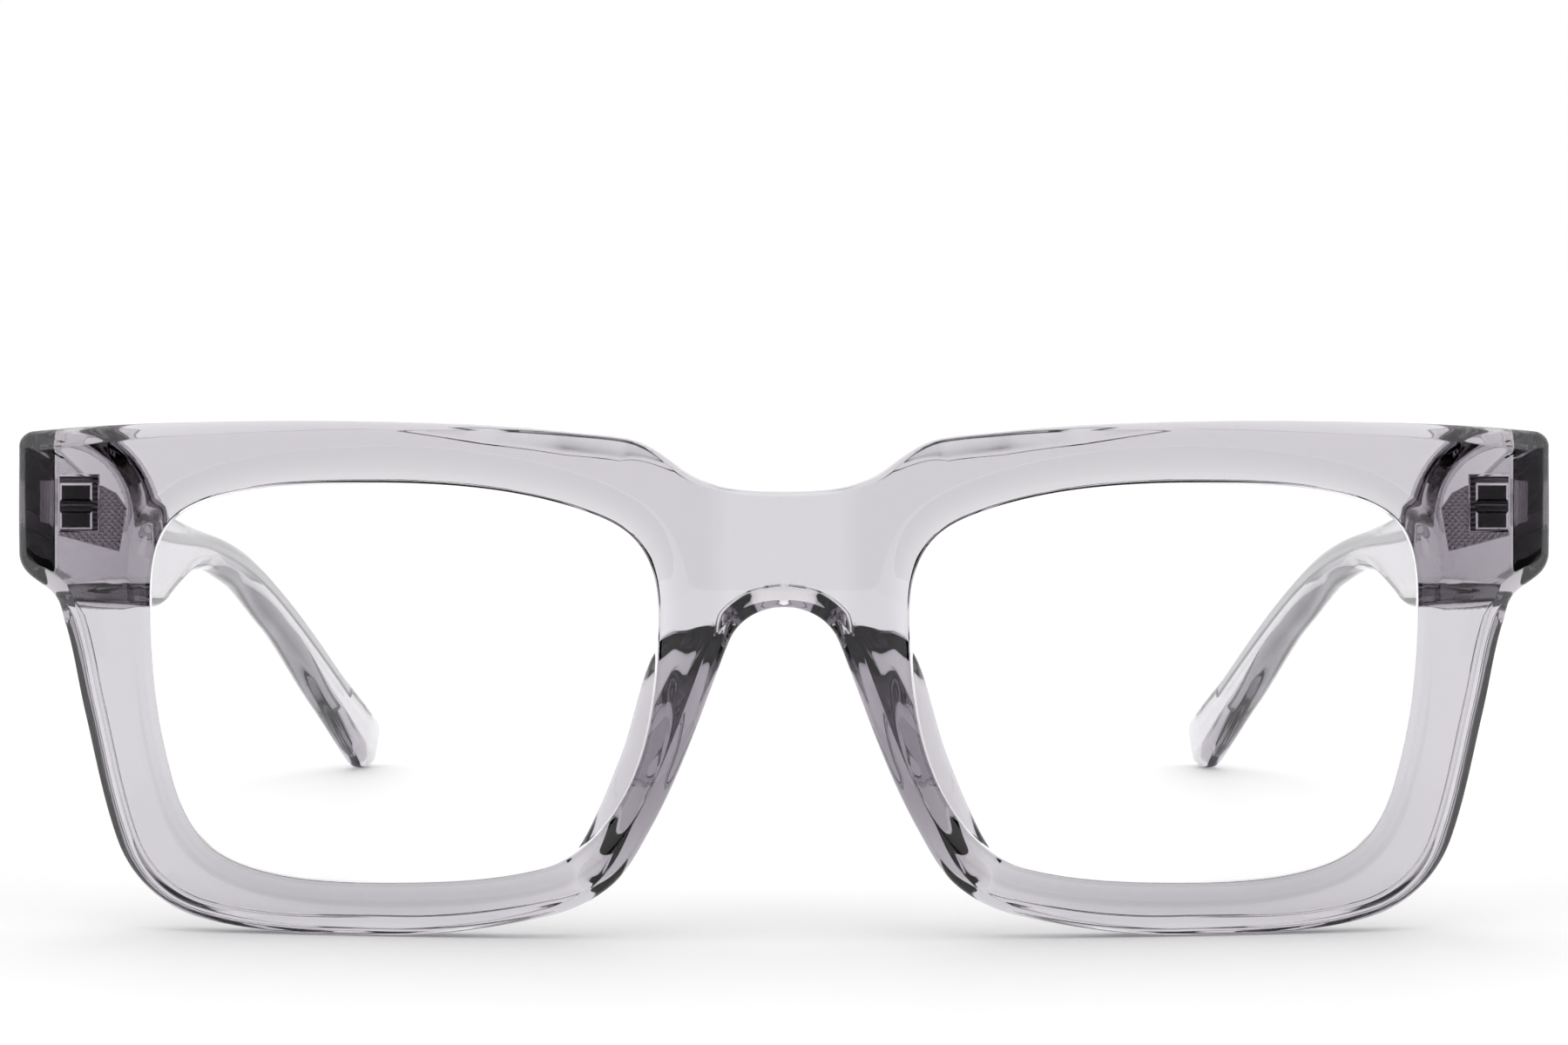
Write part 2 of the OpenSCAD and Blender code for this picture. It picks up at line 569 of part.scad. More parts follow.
module temple(side) {
    color(acetate) moved() sided(side) difference() {
        skinned(temple_points, 16, edge_n + len(tip_turns));
        temple_hinge_base(fit_gap);
        wire(fit_gap);
    }
}

front();
nose_pad(1);  // nose_pad_left
nose_pad(-1);  // nose_pad_right
lens(1);  // lens_left
lens(-1);  // lens_right
front_hinge(1);  // front_hinge_left
front_hinge(-1);  // front_hinge_right
hinge_screw(1);  // hinge_screw_left
hinge_screw(-1);  // hinge_screw_right
temple(1);  // temple_left
temple(-1);  // temple_right
core_wire(1);  // core_wire_left
core_wire(-1);  // core_wire_right
temple_hinge(1);  // temple_hinge_left
temple_hinge(-1);  // temple_hinge_right
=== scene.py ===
# %% [markdown]
# # Clear rectangular eyeglasses
# The frame is one slab of polished crystal-grey acetate: its look comes from light that bends and
# bounces inside it, so every facet, rounded edge and inner step has to be there.
# This lesson works out each surface with numpy, gives it real glass-like materials, and lights it
# like a product photo on white.

import bmesh
import bpy
import numpy as np
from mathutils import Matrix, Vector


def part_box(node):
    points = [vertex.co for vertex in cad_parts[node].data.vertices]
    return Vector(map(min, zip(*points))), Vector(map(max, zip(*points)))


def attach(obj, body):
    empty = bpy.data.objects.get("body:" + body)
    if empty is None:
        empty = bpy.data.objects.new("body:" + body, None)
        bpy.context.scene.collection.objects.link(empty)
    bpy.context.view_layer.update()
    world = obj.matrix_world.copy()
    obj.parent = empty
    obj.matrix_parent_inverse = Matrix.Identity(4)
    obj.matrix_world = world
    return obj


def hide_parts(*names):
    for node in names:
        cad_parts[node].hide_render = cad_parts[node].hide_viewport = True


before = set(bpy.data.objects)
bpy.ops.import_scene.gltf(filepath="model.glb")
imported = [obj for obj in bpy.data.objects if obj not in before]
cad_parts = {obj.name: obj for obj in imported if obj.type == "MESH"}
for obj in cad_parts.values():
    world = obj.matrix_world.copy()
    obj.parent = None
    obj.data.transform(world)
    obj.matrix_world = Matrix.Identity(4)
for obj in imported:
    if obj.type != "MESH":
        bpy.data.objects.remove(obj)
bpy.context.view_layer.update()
print("nodes:", len(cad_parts))

# %% [markdown]
# ## Sizes
# All sizes are in millimetres, with the front's lowest point at height zero. Most are those of the
# solids, but for the light in the acetate the lens groove is shallower here, the slope before each
# end block is wider and rounder, and the block reaches further in.
# The hinge screw's box gives the middle of the depth, so each new surface lands on its solid.

# %% Sizes in millimetres
mm = 1000
lens_w, lens_h, bridge_w = 50.0, 39.5, 22.0
lens_t, lens_bulge, lens_hold = 1.8, 0.3, 0.8
rim_top, rim_bottom, rim_side, rim_t = 5.8, 4.95, 6.8, 4.2
end_reach, end_d, end_w, end_h = 12.8, 14.6, 13.9, 18.0
slope_w, block_r, under_slope_w = 3.1, 9.6, 2.6
face_r, brow_r, seat_d = 300.0, 260.0, 2.3
arch_rise, bridge_rise, bridge_scoop = 7.5, 18.25, 0.8
pad_d, pad_lean, pad_foot = 7.0, 2.4, 3.0
temple_l, temple_t, ear_t, butt_h, neck_h, tip_h = 145.0, 3.6, 3.6, 12.8, 4.0, 7.0
broad_l, toe_in, bow_r, butt_gap, butt_drop = 44.0, 6.4, 900.0, 0.05, 8.75
wire_h, wire_t, wire_short = 1.2, 1.0, 13.0
knuckle_r, knuckle_h, middle_h, knuckle_gap = 1.45, 1.6, 1.2, 0.05
hinge_inset, hinge_back, hinge_drop = 5.5, 1.6, 8.5
plate_t, field_d, foot_d = 1.0, 0.5, 1.6
base_l, base_t, base_proud, base_gap, ridge_d = 6.6, 1.4, 0.5, 0.45, 1.1

opening_w = lens_w - 2 * lens_hold
opening_h = lens_h - 2 * lens_hold
eye_x = (lens_w + bridge_w) / 2
eye_z = rim_bottom + opening_h / 2
front_h = rim_bottom + opening_h + rim_top
nose_x = eye_x - opening_w / 2
side_x = eye_x + opening_w / 2
top_z = eye_z + opening_h / 2
end_x = side_x + end_reach
lens_reach = 0.25
groove_d, groove_half = lens_reach + 0.1, 0.5
hinge_x = end_x - hinge_inset
hinge_y = end_d + hinge_back
hinge_z = front_h - hinge_drop
butt_z = front_h - butt_drop
hinge_half = knuckle_h + knuckle_gap + middle_h / 2
base_y = hinge_y + knuckle_r + base_gap
screw_low, screw_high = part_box("hinge_screw_left")
middle_y = hinge_y - mm / 2 * (screw_low.y + screw_high.y)
print("front", 2 * end_x, "by", front_h, "mm, middle of the depth at", round(middle_y, 3))

# %% [markdown]
# ## Curves
# A spectacle rim is drawn as a few arcs that flow into each other. Each arc here runs between two
# nodes that hold a place and a heading. Values such as the bevel's width travel with the nodes.

# %% Curves through nodes
def ease(t):
    """Smooth step: three times t squared minus twice t cubed, with t held between 0 and 1."""
    t = np.clip(t, 0, 1)
    return t * t * (3 - 2 * t)


def aim(degrees):
    """Unit vector at an angle: its cosine and its sine."""
    angle = np.radians(degrees)
    return np.stack([np.cos(angle), np.sin(angle)], -1)


def arc_between(p, q, steps):
    """Cubic curve from node p to node q. Its handles are a third of the chord, over the squared cosine of
    a quarter of the turn, which makes the cubic follow a circle's arc. Further values blend evenly."""
    p, q = np.asarray(p, float), np.asarray(q, float)
    start, stop = p[:2], q[:2]
    handle = np.linalg.norm(stop - start) / (3 * np.cos(np.radians(q[2] - p[2]) / 4) ** 2)
    first, second = start + handle * aim(p[2]), stop - handle * aim(q[2])
    t = np.arange(steps)[:, None] / steps
    s = 1 - t
    at = s**3 * start + 3 * s * s * t * first + 3 * s * t * t * second + t**3 * stop
    go = s * s * (first - start) + 2 * s * t * (second - first) + t * t * (stop - second)
    ahead = aim(p[2])
    bend = np.degrees(np.arctan2(ahead[0] * go[:, 1] - ahead[1] * go[:, 0], go @ ahead))
    return np.column_stack([at, p[2] + bend, p[3:] + (q[3:] - p[3:]) * t])


def run_through(nodes, reach, turn):
    """All arcs of a path. An arc has a point per reach of length or per turn of heading."""
    runs = []
    for p, q in zip(nodes[:-1], nodes[1:]):
        length = np.hypot(q[0] - p[0], q[1] - p[1])
        runs.append(arc_between(p, q, int(np.ceil(max(length / reach, abs(q[2] - p[2]) / turn)))))
    return np.concatenate(runs + [np.asarray(nodes[-1:], float)])


# %% [markdown]
# ## The outlines
# The lens opening is a rounded rectangle with a wide sloped band round it. The outer outline rises
# to the brow, drops to the bridge and steps in below the end pieces. Both are read clockwise.

# %% Opening and outer outline
start_x = 2.3
opening_nodes = [
    [eye_x + start_x, top_z, 0, 3],
    [side_x - 7.4, top_z - 1.1, -13, 2.4],
    [side_x - 3.1, top_z - 2.8, -33, 2],
    [side_x, eye_z + 7.5, -90, 1.45],
    [side_x - 1.5, eye_z - 7.3, -103.5, 1.4],
    [side_x - 4.8, rim_bottom + 3.9, -132, 1.4],
    [side_x - 11.4, rim_bottom + 0.7, -168, 1.5],
    [eye_x + 1, rim_bottom, -181, 1.6],
    [eye_x - 13.3, rim_bottom + 1.55, -195, 1.6],
    [nose_x + 4.5, rim_bottom + 6.5, -234, 1.7],
    [nose_x + 1.3, eye_z - 5.5, -255, 2],
    [nose_x, eye_z + 6.7, -270, 2.2],
    [nose_x + 1.8, top_z - 5.7, -307, 2.6],
    [nose_x + 7.4, top_z - 2.4, -342, 2.8],
    [eye_x + start_x, top_z, -360, 3],
]


def edge_node(x, z, heading, bevel, inset, skew=0, steep=1):
    """Outline node: place, heading, the bevel's offset towards the inside, its width, and the back bevel's
    inset and depth, which is steep times its inset."""
    into = aim(heading - 90 + skew)
    return [x, z, heading, bevel * into[0], bevel * into[1], bevel, inset, steep * inset]


half_nodes = [
    edge_node(0, eye_z + bridge_rise, 0, 0.3, 0.3, steep=0.7),
    edge_node(9.75, front_h - 4.3, 38, 0.3, 0.5, steep=0.6),
    edge_node(14.8, front_h - 1.5, 10, 0.25, 2.2, steep=0.71),
    edge_node(20.3, front_h - 0.9, 6, 0.25, 2.2, steep=0.76),
    edge_node(28.1, front_h - 0.35, 3.1, 0.5, 1.7, steep=0.3),
    edge_node(eye_x + 0.7, front_h - 0.05, 1.3, 0.6, 0.75),
    edge_node(end_x - 15, front_h - 0.25, -1.9, 1.2, 1.35),
    edge_node(end_x - 1.2, front_h - 1.2, -6, 1.9, 1.1, -15),
    edge_node(end_x, front_h - 2.5, -90, 0.8, 0.4, 22),
    edge_node(end_x, front_h - 12.9, -91.1, 0.9, 0.4, -8),
    edge_node(end_x - 1.1, front_h - 15.05, -141, 1.8, 0.6, 12),
    edge_node(side_x + 9.5, front_h - 16.7, -131, 1.9, 1.2),
    edge_node(side_x + 8.35, eye_z + 5.45, -108, 1.8, 2),
    edge_node(side_x + rim_side - 0.3, eye_z - 2.85, -103, 1.8, 2),
    edge_node(side_x + 3.45, rim_bottom + 3.65, -109, 1.7, 1.95),
    edge_node(side_x - 4.5, 1.25, -165, 1.2, 1.6),
    edge_node(eye_x + 1.7, 0, -180, 0.9, 1.6, steep=0.5),
    edge_node(nose_x + 9.8, 2.2, -195, 0.9, 1.2),
    edge_node(nose_x + 4.65, rim_bottom - 0.15, -219, 1.3, 0.6),
    edge_node(nose_x + 0.85, eye_z - 13.7, -241, 1.7, 0.5),
    edge_node(5.6, eye_z + 3.1, -249, 1.7, 0.8),
    edge_node(4.35, eye_z + 5.6, -231, 1.1, 2),
    edge_node(2.4, eye_z + arch_rise - 0.45, -203, 0.9, 2.1),
    edge_node(0, eye_z + arch_rise, -180, 0.8, 1.9, steep=0.4),
]


def turn_of(x, z):
    """Angle round the lens centre in degrees, unrolled so that it falls clockwise from the top."""
    angle = np.degrees(np.arctan2(z - eye_z, x - eye_x))
    return np.where(angle > first_turn + 0.01, angle - 360, angle)


first_turn = np.degrees(np.arctan2(top_z - eye_z, start_x))
fine_opening = run_through(opening_nodes, reach=0.25, turn=0.8)
opening_turns = turn_of(fine_opening[:, 0], fine_opening[:, 1])
opening_turns[-1] = first_turn - 360


def opening_at(turn):
    """The opening's place, heading and band width at an angle round the lens centre."""
    return np.stack([np.interp(-turn, -opening_turns, fine_opening[:, k]) for k in range(4)], -1)


outline = run_through(half_nodes, reach=0.62, turn=2.8)
print("outline of half the front:", len(outline), "stations")


# %% [markdown]
# ## The bent faces
# The front is bent round the face and a little from top to bottom, like a piece of a barrel. Its
# back runs at an even thickness and then steps out to a flat block behind each end piece, where
# the hinge sits. The block's upper inner corner is rounded.

# %% Front face and back face
def face_y(x, z):
    """Depth of the front face: x squared over twice one radius, plus height squared over twice another."""
    return x * x / (2 * face_r) + (z - eye_z) ** 2 / (2 * brow_r)


def end_blend(x, z):
    """How far a place belongs to the end block: 0 on the rim, 1 on the block, smooth across the slope."""
    across, below = np.abs(x) - end_x + end_w, front_h - z
    rounded = block_r - np.hypot(block_r - across, block_r - below)
    corner = (across < block_r) & (below < block_r)
    inside = np.where(corner, rounded, np.minimum(across, below))
    return ease(inside / slope_w) * ease((z - front_h + end_h) / under_slope_w)


def back_y(x, z):
    """Depth of the back: the rim's thickness behind the face, less the bridge's scoop, which fades out
    4.5 to 7.5 mm beside the middle, and blended with the block's flat end."""
    rim = face_y(x, z) + rim_t - bridge_scoop * ease((7.5 - np.abs(x)) / 3)
    return rim + (end_d - rim) * end_blend(x, z)


# %% [markdown]
# ## From outline to slab
# At each station of the outline a ray points to the lens centre and finds the opening. Between the
# two lies one section of the rim: sloped band, face, bevel, side, back, and the lens groove.
# Polished acetate has no sharp edge, so each corner of the section is rounded by its own radius.

# %% Stations and rays
seam_share = np.linspace(0, 1, 24)[1:-1, None]
seam = outline[-1] + (outline[0] - outline[-1]) * seam_share
seam[:, 6:7] = outline[-1, 6] - (outline[0, 6] + outline[-1, 6]) * seam_share
stations = np.concatenate([outline, seam])
on_seam = np.arange(len(stations)) >= len(outline)
near_arch = np.clip((outline[0, 1] - stations[:, 1]) / (outline[0, 1] - outline[-1, 1]), 0, 1)
swing = 7 * near_arch * np.clip(1 - stations[:, 0] / 6, 0, 1) ** 2
rays = turn_of(stations[:, 0], stations[:, 1]) - swing
lips = opening_at(rays)
print("stations:", len(stations), "turning from", rays.max().round(1), "to", rays.min().round(1))


# %% Corners of the rim's section
bevel_steep, lip_back, wall_short = 0.95, 0.5, 0.4


def rim_corners():
    """The ten corners of every section by name, each as (stations, 3): across, up and depth."""
    edge, lip = stations[:, :2], lips[:, :2]
    away = aim(lips[:, 2] + 90)
    into = np.where(on_seam[:, None], [0, 1], aim(stations[:, 2] - 90))
    bevel, width, inset, rear_depth = stations[:, 3:5], stations[:, 5], stations[:, 6], stations[:, 7]

    def at(place, depth):
        return np.column_stack([place, depth])

    rear_out = edge + inset[:, None] * into
    rear_edge = np.where(on_seam[:, None], rear_out, edge)
    rear_in = lip + lip_back * away
    band = lip + lips[:, 3:4] * away
    face_corner = edge + bevel
    groove = lip + groove_d * away
    return {
        "band": at(band, face_y(*band.T)),
        "face": at(face_corner, face_y(*face_corner.T)),
        "side": at(edge, face_y(*edge.T) + bevel_steep * width),
        "rear_edge": at(rear_edge, back_y(*rear_out.T) - np.where(on_seam, 0, rear_depth)),
        "rear_out": at(rear_out, back_y(*rear_out.T)),
        "rear_in": at(rear_in, back_y(*rear_in.T)),
        "wall": at(lip, face_y(*lip.T) + rim_t - wall_short),
        "groove_back": at(lip, face_y(*lip.T) + seat_d + groove_half),
        "groove": at(groove, face_y(*groove.T) + seat_d),
        "lip": at(lip, face_y(*lip.T) + seat_d - groove_half),
    }


corners = rim_corners()
print("corners of a section:", list(corners))


# %% Rounded corners
def rounded_corner(before, corner, after, radius, steps):
    """Soft corner: a quadratic curve that leaves one side and meets the next at the radius' distance,
    held to 0.45 of the shorter side. Weights: (1-t) squared, 2t(1-t) and t squared."""
    ends = []
    for side in (before - corner, after - corner):
        length = np.linalg.norm(side, axis=1)
        share = np.minimum(radius, 0.45 * length) / np.maximum(length, 1e-9)
        ends.append((corner + share[:, None] * side)[:, None])
    t = np.linspace(0, 1, steps)[None, :, None]
    return (1 - t) ** 2 * ends[0] + 2 * t * (1 - t) * corner[:, None] + t * t * ends[1]


def between(a, b, steps, ends=0.06):
    """Points between two places, without the places themselves. The outer ones lie close to the ends."""
    share = np.concatenate([[ends], np.linspace(0, 1, steps)[1:-1], [1 - ends]])
    return a[:, None] + (b - a)[:, None] * share[None, :, None]


# %% [markdown]
# ## Nose pads
# The pads are part of the same slab: on the back of each rim, beside the nose, the surface grows
# into a rounded fin that leans away from the nose. So the back is a grid from the outer edge to
# the lens, and the fin lifts that grid. Its profile is a soft curve through a few rows. The upper
# end of a fin drops steeply, and the lower end fades out softly.

# %% Fin profile
# Each row: shares of the foot's width, of the lean and of the depth
pad_rows = np.array(
    [
        [0, 0, 0], [0.04, 0.04, 0.2], [0.08, 0.12, 0.45], [0.15, 0.22, 0.7], [0.3, 0.4, 0.92],
        [0.55, 0.62, 1], [0.8, 0.84, 0.96], [1, 1, 0.8], [1, 1.05, 0.6], [1, 0.92, 0.38],
        [1, 0.5, 0.2], [1, 0.12, 0.06], [1, 0, 0],
    ]
)
pad_from, pad_to = -131.0, -189.5


def cut_corners(points, rounds):
    """Softer path: a corner gives way to the points a quarter and three quarters along its sides."""
    for _ in range(rounds):
        near = 0.75 * points[:-1] + 0.25 * points[1:]
        far = 0.25 * points[:-1] + 0.75 * points[1:]
        cut = np.stack([near, far], 1).reshape(-1, points.shape[1])
        points = np.concatenate([points[:1], cut, points[-1:]])
    return points


def spread_along(points, count):
    """The same curve with evenly spaced points, measured with the fin's real size."""
    size = points * [pad_foot, pad_lean, pad_d]
    run = np.concatenate([[0], np.cumsum(np.linalg.norm(np.diff(size, axis=0), axis=1))])
    at = np.linspace(0, run[-1], count)
    return np.stack([np.interp(at, run, points[:, k]) for k in range(3)], -1)


back_count, beside_fin = 48, 4
fin = spread_along(cut_corners(pad_rows, 3), back_count - 2 * beside_fin)
pad_share = (rays - pad_from) / (pad_to - pad_from)
in_pad = (pad_share > 0) & (pad_share < 1) & ~on_seam & (stations[:, 0] < eye_x)
from_middle = 2 * np.clip(pad_share, 0, 1) - 1
upper_end = (1 - np.abs(from_middle) ** 3) ** 0.55
lower_end = (1 - from_middle**2) ** 1.2
pad_grown = np.where(in_pad, np.where(from_middle > 0, upper_end, lower_end), 0)
print("stations that carry a nose pad:", int(in_pad.sum()))


# %% Back of the rim with its fin
def back_grid():
    """Back of every section, as (stations, points, 3). Across the plain back the shares are even. Where the
    fin grows they follow its rows, and each point moves by lean across the foot and by depth backwards."""
    out, inner = corners["rear_out"][:, :2], corners["rear_in"][:, :2]
    edge, away = stations[:, :2], aim(lips[:, 2] + 90)
    foot_in = edge + (stations[:, 6:7] + 0.1) * aim(stations[:, 2] - 90)
    foot_out = lips[:, :2] + 0.65 * away
    run = inner - out
    length = np.maximum(np.einsum("ij,ij->i", run, run), 1e-9)
    first = np.einsum("ij,ij->i", foot_in - out, run) / length
    last = np.einsum("ij,ij->i", foot_out - out, run) / length
    even = np.linspace(0.02, 0.98, back_count)[None]
    fin_share = first[:, None] + (last - first)[:, None] * fin[None, :, 0]
    lead = np.linspace(0.02, 0.94, beside_fin)[None] * np.maximum(first, 0.05)[:, None]
    tail = last[:, None] + (1 - last)[:, None] * np.linspace(0.1, 0.9, beside_fin)[None]
    shaped = np.concatenate([lead, fin_share, tail], 1)
    grown = pad_grown[:, None]
    share = even + (shaped - even) * ease(grown * 4)
    place = out[:, None] + run[:, None] * share[..., None]
    lean, depth = np.pad(fin[:, 1:], ((beside_fin, beside_fin), (0, 0))).T[:, None]
    across = (foot_out - foot_in) / np.linalg.norm(foot_out - foot_in, axis=1)[:, None]
    flat_y = back_y(place[..., 0], place[..., 1])
    place = place + across[:, None] * (lean * grown * pad_lean)[..., None]
    return np.concatenate([place, (flat_y + depth * grown * pad_d)[..., None]], -1)


back = back_grid()
print("back of the slab:", back.shape)


# %% Whole section of the rim
def on_face(points):
    """The same points at the depth of the front face."""
    result = points.copy()
    result[..., 2] = face_y(points[..., 0], points[..., 1])
    return result


def hollowed(points, depth=0.02):
    """Points along a bevel, pressed in by a depth times 4t(1-t), with t from 0 to 1 along the row."""
    t = np.linspace(0, 1, points.shape[1])
    result = points.copy()
    result[..., 2] -= np.where(on_seam[:, None], 0, 4 * depth * t * (1 - t))
    return result


# Radius of each corner, and its number of points
corner_shape = {
    "band": (0.8, 7), "face": (0.12, 5), "side": (0.65, 6), "rear_edge": (0.25, 4), "rear_out": (0.25, 4),
    "rear_in": (0.3, 5), "wall": (0.25, 4), "groove_back": (0.06, 3), "groove": (0.05, 3), "lip": (0.12, 4),
}


def rim_sections():
    """Every section as a closed loop of points: sloped band, face, bevel, side, back and so on. The counts
    say where each part of the loop starts."""
    names = list(corner_shape)
    soft = {}
    for i, name in enumerate(names):
        radius, steps = corner_shape[name]
        before, after = corners[names[i - 1]], corners[names[(i + 1) % len(names)]]
        sharp = on_seam & (name in ("face", "side", "rear_edge", "rear_out"))
        soft[name] = rounded_corner(before, corners[name], after, np.where(sharp, 0, radius), steps)
    loop = [
        soft["band"],
        on_face(between(soft["band"][:, -1], soft["face"][:, 0], 8)),
        soft["face"],
        between(soft["face"][:, -1], soft["side"][:, 0], 4, 0.1),
        soft["side"],
        between(soft["side"][:, -1], soft["rear_edge"][:, 0], 6),
        soft["rear_edge"],
        hollowed(between(soft["rear_edge"][:, -1], soft["rear_out"][:, 0], 6)),
        soft["rear_out"],
        back,
        soft["rear_in"],
        soft["wall"],
        soft["groove_back"],
        soft["groove"],
        soft["lip"],
        between(soft["lip"][:, -1], soft["band"][:, 0], 4, 0.08),
    ]
    counts = np.cumsum([0] + [part.shape[1] for part in loop])
    return np.concatenate(loop, 1), counts


sections, counts = rim_sections()
print("points in one section:", sections.shape[1])


# %% [markdown]
# ## Meshes from grids
# A grid of points becomes a mesh by joining each point to its neighbours in both directions.
# The helpers below take millimetres, put the depth into the shared frame, and weld points that
# coincide, which closes the seam between the two halves of the front.

# %% Grid helpers
def loop_quads(rows, columns, closed_rows, closed_columns):
    """Quads of a grid: corners (i, k), (i, k+1), (i+1, k+1), (i+1, k), wrapping round where closed."""
    i = np.arange(rows if closed_rows else rows - 1)[:, None]
    k = np.arange(columns if closed_columns else columns - 1)[None]
    j, m = (i + 1) % rows, (k + 1) % columns
    corner = [i * columns + k, i * columns + m, j * columns + m, j * columns + k]
    return np.stack([np.broadcast_to(c, (i.size, k.size)) for c in corner], -1)


def grid_rim(rows, columns):
    """Numbers of the points on the border of a grid, once round."""
    down, across = np.arange(rows) * columns, np.arange(columns)
    return np.concatenate([down, down[-1] + across[1:], down[-2::-1] + across[-1], across[-2:0:-1]])


def in_frame(points):
    """Millimetres (across, up, depth) to metres in the shared frame (across, depth from the middle, up)."""
    return np.stack([points[:, 0], points[:, 2] - middle_y, points[:, 1]], -1) / mm


def welded(points, faces, outwards):
    """Closed bmesh from points and faces: doubles are merged, and normals point out, or in for a hollow."""
    mesh = bpy.data.meshes.new("draft")
    mesh.from_pydata(in_frame(points), [], faces)
    work = bmesh.new()
    work.from_mesh(mesh)
    bpy.data.meshes.remove(mesh)
    bmesh.ops.remove_doubles(work, verts=work.verts, dist=2e-7)
    bmesh.ops.dissolve_degenerate(work, edges=work.edges, dist=1e-7)
    bmesh.ops.recalc_face_normals(work, faces=work.faces)
    if not outwards:
        bmesh.ops.reverse_faces(work, faces=work.faces)
    return work


def placed(name, data):
    """New object in the scene, at the origin."""
    thing = bpy.data.objects.new(name, data)
    bpy.context.scene.collection.objects.link(thing)
    return thing


def mesh_piece(name, shells, hollows=(), flat=False):
    """Mesh object from closed shells, each a pair of points in millimetres and faces. Hollows face inwards
    and have flat walls."""
    mesh = bpy.data.meshes.new(name)
    work = bmesh.new()
    for k, (points, faces) in enumerate([*shells, *hollows]):
        part = welded(points, faces, outwards=k < len(shells))
        for face in part.faces:
            face.smooth = not flat and k < len(shells)
        part.to_mesh(mesh)
        part.free()
        work.from_mesh(mesh)
        mesh.clear_geometry()
    work.to_mesh(mesh)
    open_edges = sum(1 for edge in work.edges if len(edge.link_faces) != 2)
    volume = work.calc_volume() * mm**3
    work.free()
    print(f"{name}: {len(mesh.polygons)} faces, {volume:.1f} cubic mm, {open_edges} open edges")
    return placed(name, mesh)


def mirrored(points):
    """The same points on the wearer's other side."""
    return points * [-1, 1, 1]


def both_sides(name, shells, flat=False):
    """The wearer's left piece and its mirror image on the right. The name has a gap for the side."""
    turned = [(mirrored(points), faces) for points, faces in shells]
    left = mesh_piece(name.format("left"), shells, flat=flat)
    return left, mesh_piece(name.format("right"), turned, flat=flat)


# %% [markdown]
# ## The front
# The section loops of one half close into a ring round the lens opening. On the middle plane the
# outer part of the loops is left open, and the mirrored half is welded there.
# The hinge's feet stand in small pockets of air. The pockets' chamfered edges throw back the white
# of the two sides, and that draws the white outlines that one sees round the feet from the front.

# %% Two halves of the front
def front_faces():
    """Quads of one half, without those on the middle plane, from the bevel round to the back's edge."""
    quads = loop_quads(len(stations), sections.shape[1], True, True)
    row = np.arange(len(stations))[:, None]
    column = np.arange(sections.shape[1])[None]
    open_rows = row >= len(outline) - 1
    open_columns = (column >= counts[3] - 1) & (column < counts[8])
    return quads[~(open_rows & open_columns)]


half = sections.reshape(-1, 3)
half_quads = front_faces()
front_points = np.concatenate([half, mirrored(half)])
front_quads = np.concatenate([half_quads, half_quads[:, ::-1] + len(half)])


# %% Pockets of air round the feet
def pocket_lines(boxes, low, high, gap):
    """Grid lines over all boxes: the sides in pairs a tiny gap apart, and where the chamfers end."""
    marks = []
    for box in boxes:
        start, stop, chamfer = box[low], box[high], box[5]
        marks += [start - gap, start, start + chamfer, stop - chamfer, stop, stop + gap]
    return np.unique(np.round(marks, 4))


def chamfered_pocket(boxes, rear, gap=0.004, steep=1.25):
    """Closed height map over boxes of (x0, x1, z0, z1, front, chamfer). A distance d inside a box the wall
    lies at front + steep * max(0, chamfer - d). The foremost wall counts, and outside all boxes the rear.
    Each quad is cut along the diagonal with the smaller step, which keeps the chamfers flat."""
    x, z = np.meshgrid(pocket_lines(boxes, 0, 1, gap), pocket_lines(boxes, 2, 3, gap), indexing="ij")
    depth = np.full(x.shape, float(rear))
    for x0, x1, z0, z1, front, chamfer in boxes:
        inside = np.minimum(np.minimum(x - x0, x1 - x), np.minimum(z - z0, z1 - z))
        wall = front + steep * np.maximum(0, chamfer - inside)
        depth = np.where(inside > -1e-4, np.minimum(depth, wall), depth)
    quads = loop_quads(*x.shape, False, False).reshape(-1, 4)
    y = depth.ravel()[quads]
    first_cut = np.abs(y[:, 0] - y[:, 2]) < np.abs(y[:, 1] - y[:, 3])
    halves = np.where(first_cut[:, None], quads[:, [0, 1, 3, 1, 2, 3]], quads[:, [0, 1, 2, 0, 2, 3]])
    faces = halves.reshape(-1, 3).tolist() + [grid_rim(*x.shape).tolist()]
    return np.stack([x, z, depth], -1).reshape(-1, 3), faces


def knuckle_span(up):
    """Lower and upper end of a foot or knuckle whose middle is some way above the hinge's middle."""
    return hinge_z + up - knuckle_h / 2, hinge_z + up + knuckle_h / 2


air, sunk = 0.06, 0.02
field_chamfer, foot_chamfer, foot_lift = 0.16, 0.2, 0.2
field_x = (hinge_x - 2.45, hinge_x + 1.5)
field_z = (hinge_z - 2.4, hinge_z + 3)
foot_x = (hinge_x - 1.75, hinge_x + 1.3)
knuckle_up = middle_h / 2 + knuckle_gap + knuckle_h / 2
foot_z = [knuckle_span(foot_lift - knuckle_up), knuckle_span(knuckle_up)]
knuckle_z = [knuckle_span(-knuckle_up), knuckle_span(knuckle_up)]
plate_front = end_d - plate_t
foot_front, field_front = plate_front - foot_d, plate_front - field_d


def with_air(across, up, front, chamfer):
    """Box of a pocket: the metal's own box, with air on all sides and in front."""
    return across[0] - air, across[1] + air, up[0] - air, up[1] + air, front - air, chamfer


boxes = [with_air(field_x, field_z, field_front, field_chamfer)]
boxes += [with_air(foot_x, span, foot_front, foot_chamfer) for span in foot_z]
pocket, pocket_faces = chamfered_pocket(boxes, end_d - sunk)
front = mesh_piece("acetate_front", [(front_points, front_quads.tolist())],
                   hollows=[(pocket, pocket_faces), (mirrored(pocket), pocket_faces)])

